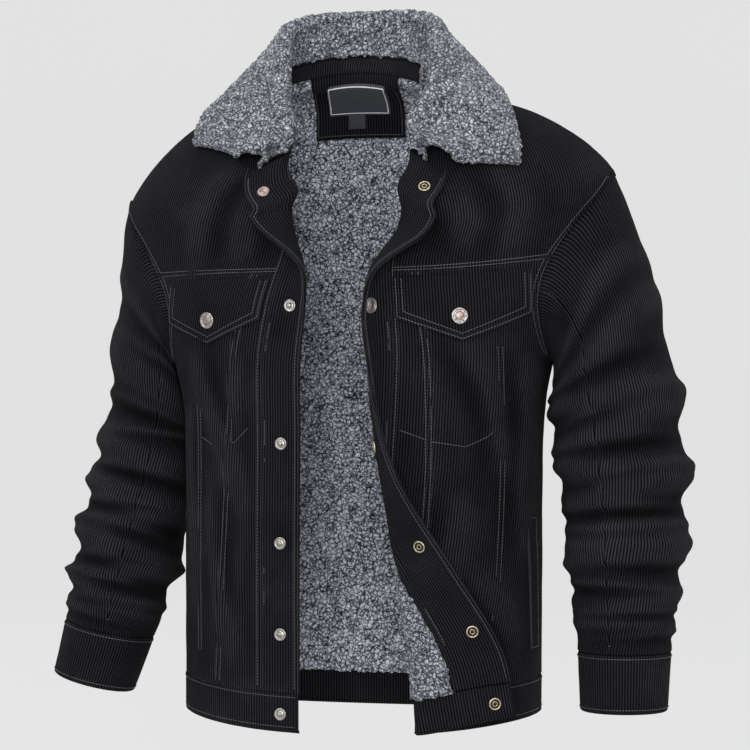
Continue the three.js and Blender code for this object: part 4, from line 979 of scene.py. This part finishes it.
def collarEdge(side, row):
    w = upperW(side, row)
    toEnd, toEdge = (0.994 - abs(side)) * collarLength, (0.994 - w) * 150
    return -4.5 * math.exp(-(max(0, toEnd) / 2.6) ** 2) - 4.5 * math.exp(-(max(0, toEdge) / 2.6) ** 2)


def collarShown(side, w):
    trim = 0.028 * smooth((abs(side) - 0.8) / 0.19) * math.exp(-((w - 0.30) / 0.09) ** 2)
    point = collarAt(side * (1 - trim), w)
    end = smooth((abs(side) - 0.90) / 0.094)
    if end > 0:
        along = (collarAt(math.copysign(0.93, side), w) - collarAt(math.copysign(0.87, side), w)).normalized()
        point += along * (end * 12 * smooth((w - 0.41) / 0.08) * (1 - smooth((w - 0.60) / 0.28)))
    return point


clothPiece("collar_upper", lambda side, row: collarShown(side, upperW(side, row)), sideSpots(0.994, 330), rowList,
           lambda side, row: (side * collarLength, upperW(side, row) * 140), 1, ["collar_upper"], material=sherpaCollar, slot="sherpa",
           thickness=4.0, offset=4.4, height=collarEdge, attribute="curl", pile=pileLook["collar"], held="folded")
clothPiece("collar_under", lambda side, w: collarAt(side, w), sideSpots(0.985, 120), [mix(0.006, 0.985, i / 44) for i in range(45)],
           lambda side, w: (side * collarLength, w * 140), -1, ["collar_under"], thickness=1.3, offset=2.1,
           height=lambda side, w: rolled((0.985 - abs(side)) * collarLength) + rolled((0.985 - w) * 150) + 0.3 * noise.noise(Vector((side * 18, w * 9, 1))),
           held="folded")
clothPiece("neck_band", lambda side, w: collarPoint(side, w * bandWidth(side) / 0.11), sideSpots(0.5, 90), [mix(-0.006, 0.11, i / 10) for i in range(11)],
           lambda side, w: (side * collarLength, w * 140), 1, ["neck_band"], thickness=1.4, offset=2.6,
           height=lambda side, w: rolled((w + 0.006) * 110) + rolled((0.11 - w) * 110), held="folded")
print("collar made")

for hand, word in sideNames.items():
    step = 2.7 if hand > 0 else 3.1
    count = round(215 / step)
    clothPiece("lining_" + word, lambda q, t, h=hand: frontPoint(h, q, t),
               lambda t, h=hand, c=count: [mix(59.2, total(h, t) - 0.3, i / c) for i in range(c + 1)],
               [mix(band - 0.004, 0.9995, i / round(655 / step)) for i in range(round(655 / step) + 1)],
               lambda q, t: (q, t * 740), -hand, ["lining_" + word], material=sherpaCollar, slot="sherpa", thickness=3.6, offset=6.9,
               height=lambda q, t, h=hand: -2.2 * math.exp(-((q - 59) / 2.2) ** 2), attribute="curl", pile=pileLook["lining"])



def backTall(share, t):
    return backPoint(share, min(t, 0.9995)) + Vector((0, 0, 600 * max(0, t - 0.9995)))


# uses the brightened sherpa copy: painted light on the inside of the back
clothPiece("lining_back", backTall, [mix(-0.998, 0.998, i / 196) for i in range(197)],
           [mix(band - 0.006, 1.008, i / 240) for i in range(241)], lambda u, t: (backArc(u, min(t, 1)), t * 740), 1, ["lining_back"],
           material=sherpa, slot="sherpa", thickness=0, offset=6.4,
           height=lambda u, t: -1.5 * math.exp(-((t - band) * 740 / 2.5) ** 2) - 4 * smooth((t - 0.992) / 0.012),
           attribute="curl", pile=pileLook["lining"])
print("lining made")


# pocket flaps and welts
flapLook = {"top": 0.664, "side": 0.586, "point": 0.544, "spans": {1: (46, 188, 112), -1: (50, 172, 108)}}
weltLook = {"top": 0.278, "bottom": 0.092, "width": 22, "lines": {1: (202, 234), -1: (196, 222)}}


def flapBottom(hand, q):
    low, high, tip = flapLook["spans"][hand]
    aside = (tip - q) / (tip - low) if q < tip else (q - tip) / (high - tip)
    return mix(flapLook["point"], flapLook["side"], aside)


def flapAt(hand, q, k):
    return frontPoint(hand, q, mix(flapLook["top"], flapBottom(hand, q), k))


for hand, word in sideNames.items():
    low, high, tip = flapLook["spans"][hand]
    columns = offsetsBetween(low, high, 30)
    rows = [mix(0, 1, i / 26) for i in range(24)] + [0.93, 0.955, 0.975, 0.99, 1.0]

    def height(q, k, h=hand, lo=low, hi=high):
        deep = (flapLook["top"] - flapBottom(h, q)) * 740
        toEdge = min(q - lo, hi - q, (1 - k) * deep)
        return (0.9 * smooth(k * 1.3) + rolled(toEdge) - 0.35 * math.exp(-((toEdge - 2.6) / 0.8) ** 2)
                - 0.35 * math.exp(-((toEdge - 8.6) / 0.9) ** 2) + 0.7 * noise.noise(Vector((q / 26, k * 3, hand * 4))))
    clothPiece("pocket_flap_" + word, lambda q, k, h=hand: flapAt(h, q, k), columns, rows,
               lambda q, k, h=hand: (q, mix(flapLook["top"], flapBottom(h, q), k) * 740), -hand, ["pocket_flap_" + word],
               thickness=1.7, offset=2.5, height=height,
               value=lambda q, k, lo=low, hi=high: 0.6 * math.exp(-min(q - lo, hi - q, (1 - k) * 60) / 1.8))
    top, bottom = weltLook["lines"][hand]
    clothPiece("pocket_welt_" + word,
               lambda u, t, h=hand, a=top, b=bottom: frontPoint(h, u + mix(b, a, (t - 0.092) / 0.186), t),
               offsetsBetween(0, 22, 2), tBetween(weltLook["bottom"], weltLook["top"], 5),
               lambda u, t: (u, t * 740), hand, ["pocket_welt_" + word], thickness=1.5, offset=2.2,
               height=lambda u, t: rolled(u) + rolled(22 - u) + rolled((t - 0.092) * 740) + rolled((0.278 - t) * 740) + 0.3 * noise.noise(Vector((u / 9, t * 60, 4))),
               value=lambda u, t: 0.5 * math.exp(-min(u, 22 - u) / 1.4))
print("pockets made")


def backShareAt(x, t):
    g = torso.at(t)
    angle = -math.degrees(math.acos(clamp(abs(x) / g["half"], 0, 1) ** (g["square"] / 2)))
    end = -armholeAngle(t, shape["armholeBack"]) if t > 0.5 else 0
    return math.copysign((angle + 90) / (end + 90), x)


# hanging patch with a plain woven label, its pale edge line and a blank size tab
patchLook = {"half": 49, "top": 1.010, "bottom": 0.848, "aside": -5, "swing": -16}
labelLook = {"half": 34, "top": 0.998, "bottom": 0.898, "line": 0.9, "inset": 2.2}


def onBack(x, t):
    middle = patchLook["aside"] + patchLook["swing"] * (1 - t) / (1 - patchLook["bottom"])
    return backTall(backShareAt(x + middle, min(t, 0.9995)), t)


def recess(t):
    return 6.5 * smooth((t - 0.985) / 0.025)


def patchPiece(name, half, ts, depth, thickness, material, slot, replaced, shift=0):
    xs = spots(shift - half, shift + half, 2.6)

    def height(x, t):
        return -0.9 * math.exp(-min(x - xs[0], xs[-1] - x) / 1.2) - recess(t)
    return clothPiece(name, onBack, xs, ts, lambda x, t: (x, t * 520), 1, replaced, material=material, slot=slot, thickness=thickness,
                      offset=depth, height=height, held="hung")


patchPiece("label_patch", patchLook["half"], spots(patchLook["bottom"], patchLook["top"], 0.006), 12.0, 1.5, corduroy, "corduroy", ["label_patch"])
patchPiece("neck_label", labelLook["half"], spots(labelLook["bottom"], labelLook["top"], 0.006), 12.9, 0.5, labelCloth, "label", ["neck_label"])
patchPiece("size_tab", 10, spots(0.866, 0.899, 0.004), 12.7, 0.4, labelCloth, "label", [], -4)


def borderPiece():
    bm = bmesh.new()
    inset, line = labelLook["inset"], labelLook["line"]
    half = labelLook["half"]
    x1, x2, t1, t2 = -half + inset, half - inset, labelLook["bottom"] + inset / 420, labelLook["top"] - inset / 420
    strips = [((x1, t1), (x2, t1), 0), ((x1, t2), (x2, t2), 0), ((x1, t1), (x1, t2), 1), ((x2, t1), (x2, t2), 1)]
    for (xa, ta), (xb, tb), upright in strips:
        made = bmesh.ops.create_grid(bm, x_segments=30, y_segments=1, size=1)["verts"]
        for v in made:
            k, side = (v.co.x + 1) / 2, v.co.y
            x, t = mix(xa, xb, k), mix(ta, tb, k)
            x, t = (x + side * line / 2, t) if upright else (x, t + side * line / 2 / 420)
            n = backSurface(backShareAt(x, min(t, 0.99)), min(t, 0.99))[1]
            v.co = (onBack(x, t) - n * (13.6 - recess(t))) * mm
    bmesh.ops.recalc_face_normals(bm, faces=bm.faces[:])
    layer = bm.loops.layers.uv.new("cloth")
    for face in bm.faces:
        if face.normal.y > 0:
            face.normal_flip()
        for loop in face.loops:
            loop[layer].uv = (loop.vert.co.x, loop.vert.co.z)
    return finish(bm, "label_border", labelBorder, [])


borderPiece()
print("labels made")


# stitching
stitchLook = {"pitch": 3.3, "length": 2.4, "wide": 0.62, "high": 0.5}


def onFront(hand, lift=0.0, inside=False):
    surface = frontSurface(hand)

    def place(q, t):
        p, n = surface(q, t)
        return (p - n * (4.0 + lift), -n) if inside else (p + n * lift, n)
    return place


def stitchRow(bm, place, path):
    samples = []
    for (u1, v1), (u2, v2) in zip(path, path[1:]):
        for i in range(24):
            samples.append(place(mix(u1, u2, i / 24), mix(v1, v2, i / 24)))
    samples.append(place(*path[-1]))
    run, due = 0.0, 1.5
    for (a, na), (b, nb) in zip(samples, samples[1:]):
        length = (b - a).length
        while due < run + length and length > 1e-6:
            k = (due - run) / length
            centre, normal, along = a.lerp(b, k), na.lerp(nb, k).normalized(), (b - a).normalized()
            side = along.cross(normal).normalized()
            turn = Matrix((along, side, normal)).transposed().to_4x4()
            size = Matrix.Diagonal((stitchLook["length"] * mm, stitchLook["wide"] * mm, stitchLook["high"] * mm, 1))
            bmesh.ops.create_cube(bm, size=1, matrix=Matrix.Translation(centre * mm) @ turn @ size)
            due += stitchLook["pitch"]
        run += length


def stitching(name, rows):
    bm = bmesh.new()
    for place, path in rows:
        stitchRow(bm, place, path)
    return finish(bm, name, thread, [], smoothed=False)


def line(u1, v1, u2, v2, count=10):
    return [(mix(u1, u2, i / count), mix(v1, v2, i / count)) for i in range(count + 1)]


seams = {1: {"second": ((152, 0.532), (176, 0.144)), "bag": [(52, 0.400), (84, 0.384), (120, 0.376), (142, 0.388), (158, 0.404)]},
         -1: {"second": ((128, 0.532), (126, 0.092)), "bag": [(58, 0.400), (74, 0.380), (102, 0.372), (122, 0.384)]}}
for hand, word in sideNames.items():
    on = onFront(hand, 0.75)
    flat = onFront(hand, 0.35)
    rows = []
    for d in (4.5, 38):
        rows.append((flat, line(d, band + 0.006, d, 0.985, 40)))
    rows.append((on, line(46, 0.06, 46, 0.97, 40)))
    for d in (2.2, 7.6):
        t = yokeAt + d * perT
        rows.append((on, line(47, t, total(hand, t) - 3, t, 16)))
        rows.append((on, [(sideSeam(hand, t2) - d, t2) for t2 in [mix(band + 0.006, yokeAt - 0.004, i / 14) for i in range(15)]]))
        rows.append((on, [(total(hand, t2) - d, t2) for t2 in [mix(0.515, 0.79, i / 16) for i in range(17)]]))
        (qa, ta), (qb, tb) = seams[hand]["second"]
        rows.append((flat, line(qa + d - 5, ta, qb + d - 5, tb, 14)))
    rows.append((flat, seams[hand]["bag"]))
    rows.append((onFront(hand, 0.85), [(q, 0.0475) for q in [mix(3, total(hand, 0.0475) - 3, i / 24) for i in range(25)]]))
    rows.append((onFront(hand, 0.45), [(q, 0.0075) for q in [mix(4, total(hand, 0.0075) - 3, i / 24) for i in range(25)]]))
    inner = onFront(hand, 0.25, True)
    for d in (4.5, 52):
        rows.append((inner, line(d, band + 0.006, d, 0.985, 40)))
    low, high, tip = flapLook["spans"][hand]
    flapPlace = onFront(hand, 3.35)
    for d in (2.6, 8.6):
        path = [(low + d, flapLook["top"] - 0.006), (low + d, flapBottom(hand, low) + d * perT * 1.05), (tip, flapLook["point"] + d * perT * 1.15),
                (high - d, flapBottom(hand, high) + d * perT * 1.05), (high - d, flapLook["top"] - 0.006)]
        fine = []
        for (u1, v1), (u2, v2) in zip(path, path[1:]):
            fine += line(u1, v1, u2, v2, 5)[:-1]
        rows.append((flapPlace, fine + [path[-1]]))
    top, bottom = weltLook["lines"][hand]
    weltPlace = onFront(hand, 2.3)
    slant = lambda u, t: (u + mix(bottom, top, (t - 0.092) / 0.186), t)
    for d in (2.0, 20.0):
        rows.append((weltPlace, [slant(d, t) for t in [mix(0.097, 0.273, i / 10) for i in range(11)]]))
    rows.append((weltPlace, [slant(u, 0.274) for u in (2, 8, 14, 20)]))
    rows.append((weltPlace, [slant(u, 0.096) for u in (2, 8, 14, 20)]))
    stitching("stitching_front_" + word, rows)
    rows = []
    point = sleeveSurface(hand)
    def arm(a, s, f=point, lift=0.8):
        p, n = f(a, s)
        return p + n * lift, n
    rows.append((lambda a, s, f=point: arm(a, s, f, 1.0), [(a, 6.14) for a in range(0, 361, 12)]))
    rows.append((lambda a, s, f=point: arm(a, s, f, 1.0), [(a, 6.93) for a in range(0, 361, 12)]))
    stitching("stitching_sleeve_" + word, rows)


def onBackSeam(share, t):
    p, n = backSurface(share, t)
    return p + n * 0.75, n


rows = []
for d in (2.2, 7.6):
    rows.append((onBackSeam, line(-0.97, backYokeAt + d * perT, 0.97, backYokeAt + d * perT, 24)))
    for hand in (-1, 1):
        rows.append((onBackSeam, [(hand * (1 - d / 150), t) for t in [mix(0.515, 0.79, i / 16) for i in range(17)]]))
rows.append((onBackSeam, line(-0.99, 0.0475, 0.99, 0.0475, 24)))
rows.append((onBackSeam, line(-0.99, 0.0085, 0.99, 0.0085, 24)))
stitching("stitching_back", rows)


def onPatch(x, t):
    n = backSurface(backShareAt(x, min(t, 0.99)), min(t, 0.99))[1]
    return onBack(x, t) - n * (12.3 - recess(t)), -n


stitching("stitching_patch", [(onPatch, line(-46.5, 0.985, -46.5, 0.854, 6) + line(-46.5, 0.854, 46.5, 0.854, 12)[1:] + line(46.5, 0.854, 46.5, 0.985, 6)[1:])])
print("stitching made")


# snaps, spun from their profiles: radius and height
snapLook = {"steps": 36, "line": 20, "heights": (0.024, 0.130, 0.250, 0.380, 0.610, 0.957), "flap": (111, 0.588)}
profiles = {
    "stud": [(0, -0.3), (6.4, -0.3), (6.4, 0.5), (6.1, 0.95), (5.4, 1.1), (4.8, 0.75), (3.6, 0.7), (3.1, 1.1), (2.5, 1.3), (2.1, 1.9),
             (2.4, 2.7), (2.2, 3.3), (1.3, 3.6), (0, 3.65)],
    "socket": [(4.5, -0.3), (6.4, -0.3), (6.4, 0.6), (6.1, 1.25), (5.4, 1.5), (4.8, 1.2), (4.5, 0.3), (4.5, -0.3)],
    "cup": [(0, -0.2), (4.5, -0.2), (4.5, 0.2), (3.4, 0.3), (0, 0.15)],
    "mouth": [(1.8, 0.1), (2.8, 0.1), (2.7, 1.0), (2.3, 1.25), (1.8, 1.0), (1.8, 0.1)],
    "plate": [(0, -0.3), (6.3, -0.3), (6.3, 0.5), (5.8, 0.9), (4.9, 1.0), (4.5, 0.75), (3.3, 0.75), (2.9, 1.05), (1.4, 1.15), (0, 1.15)],
    "rim": [(4.4, 0.2), (8.6, -0.3), (8.6, 0.6), (8.2, 1.35), (7.5, 1.75), (6.9, 1.7), (6.5, 1.2), (5.3, 1.15), (4.9, 1.6), (4.4, 1.6), (4.4, 0.2)],
    "heart": [(0, 0.0), (4.3, 0.0), (4.3, 1.25), (3.6, 1.6), (0, 1.8)]}


def spun(bm, profile, matrix):
    verts = [bm.verts.new((r * mm, 0, h * mm)) for r, h in profile]
    edges = [bm.edges.new(pair) for pair in zip(verts, verts[1:])]
    made = bmesh.ops.spin(bm, geom=verts + edges, cent=(0, 0, 0), axis=(0, 0, 1), angle=2 * math.pi, steps=snapLook["steps"], use_merge=True)
    fresh = [v for v in bm.verts if v.tag is False]
    bmesh.ops.remove_doubles(bm, verts=fresh, dist=1e-6)
    fresh = [v for v in bm.verts if v.tag is False]
    bmesh.ops.transform(bm, matrix=matrix, verts=fresh)
    for v in bm.verts:
        v.tag = True


def seatMatrix(point, normal):
    side = Vector((0.3, 0, 1)).cross(normal).normalized()
    return Matrix.Translation(point * mm) @ Matrix((side, normal.cross(side), normal)).transposed().to_4x4()


def snap(name, kinds, point, normal):
    bm = bmesh.new()
    for kind, metal in kinds:
        spun(bm, profiles[kind], seatMatrix(point, normal))
        for f in bm.faces:
            if not f.tag:
                f.material_index, f.tag = kinds.index((kind, metal)), True
        if kind == "rim":
            for i in range(8):
                a = math.radians(45 * i + 10)
                spot = Matrix.Translation((6.0 * mm * math.cos(a), 6.0 * mm * math.sin(a), 1.3 * mm)) @ Matrix.Rotation(a, 4, "Z") @ Matrix.Diagonal((0.5, 1.5, 0.5, 1))
                before = set(bm.verts)
                made = bmesh.ops.create_cube(bm, size=mm, matrix=seatMatrix(point, normal) @ spot)["verts"]
                for v in made:
                    v.tag = True
    for f in bm.faces:
        f.smooth = True
    bmesh.ops.recalc_face_normals(bm, faces=bm.faces[:])
    piece = finish(bm, name + "_metal", kinds[0][1], [name])
    for kind, metal in kinds[1:]:
        piece.data.materials.append(metal)
    return piece


for hand, word in sideNames.items():
    surface = frontSurface(hand)
    for i, t in enumerate(snapLook["heights"]):
        p, n = surface(snapLook["line"], t)
        onBand = t < band
        outer, inner = (0.75, 3.1) if onBand else (0.2, 4.2)
        number = "_%d" % (i + 1)
        if hand > 0:
            snap("snap_cap" + number, [("rim", silver), ("heart", copper)], p + n * outer, n)
            snap("snap_socket" + number, [("socket", brass), ("cup", shadowed), ("mouth", brass)], p - n * inner, -n)
        else:
            snap("snap_stud" + number, [("stud", silver)], p + n * outer, n)
            snap("snap_plate" + number, [("plate", copper)], p - n * inner, -n)
    p, n = surface(*snapLook["flap"])
    snap("flap_snap_" + word, [("rim", silver), ("heart", copper)], p + n * 3.5, n)
print("snaps made")


# studio
def studio():
    bm = bmesh.new()
    profile = [(0, -0.80), (3.6, -0.80)] + [(3.6 + 1.6 * math.sin(math.radians(a)), 0.80 - 1.6 * math.cos(math.radians(a))) for a in range(10, 91, 10)] + [(5.2, 4.5)]
    verts = [bm.verts.new((r, 0, z)) for r, z in profile]
    edges = [bm.edges.new(pair) for pair in zip(verts, verts[1:])]
    bmesh.ops.spin(bm, geom=verts + edges, cent=(0, 0, 0), axis=(0, 0, 1), angle=2 * math.pi, steps=64, use_merge=True)
    bmesh.ops.remove_doubles(bm, verts=bm.verts[:], dist=1e-5)
    bmesh.ops.recalc_face_normals(bm, faces=bm.faces[:])
    for f in bm.faces:
        if f.normal.dot(Vector((0, 0, 1)) - f.calc_center_median() * 0.2) < 0:
            f.normal_flip()
    mesh = bpy.data.meshes.new("studio")
    bm.to_mesh(mesh)
    bm.free()
    mesh.materials.append(stageMaterial())
    mesh.shade_smooth()
    room = bpy.data.objects.new("studio", mesh)
    bpy.context.collection.objects.link(room)
    room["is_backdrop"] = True


studio()
lamps = {"key": ((-1.7, -2.3, 1.7), 1.8, 34), "fill": ((2.0, -2.3, 1.1), 2.0, 30), "top": ((0.1, -0.2, 2.6), 1.8, 38),
         "rimLeft": ((-2.3, 1.5, 0.6), 1.4, 14), "rimRight": ((2.3, 1.5, 0.6), 1.4, 14), "front": ((0.5, -3.3, 0.30), 1.2, 58)}
for name, (place, size, power) in lamps.items():
    light = bpy.data.lights.new(name, "AREA")
    light.shape, light.size, light.energy = "DISK", size, power
    lamp = bpy.data.objects.new(name, light)
    lamp.location = place
    lamp.rotation_euler = (Vector((0, 0, -0.3)) - Vector(place)).to_track_quat("-Z", "Y").to_euler()
    bpy.context.collection.objects.link(lamp)
world = bpy.data.worlds.new("world")
bpy.context.scene.world = world
world.use_nodes = True
world.node_tree.nodes["Background"].inputs[0].default_value = (0.9, 0.92, 0.96, 1)
world.node_tree.nodes["Background"].inputs[1].default_value = 0.35
bpy.context.scene.view_settings.view_transform = "Standard"
print("studio made")

for box in (cadBox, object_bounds()):
    str([list(corner) for corner in box]) + "\n"
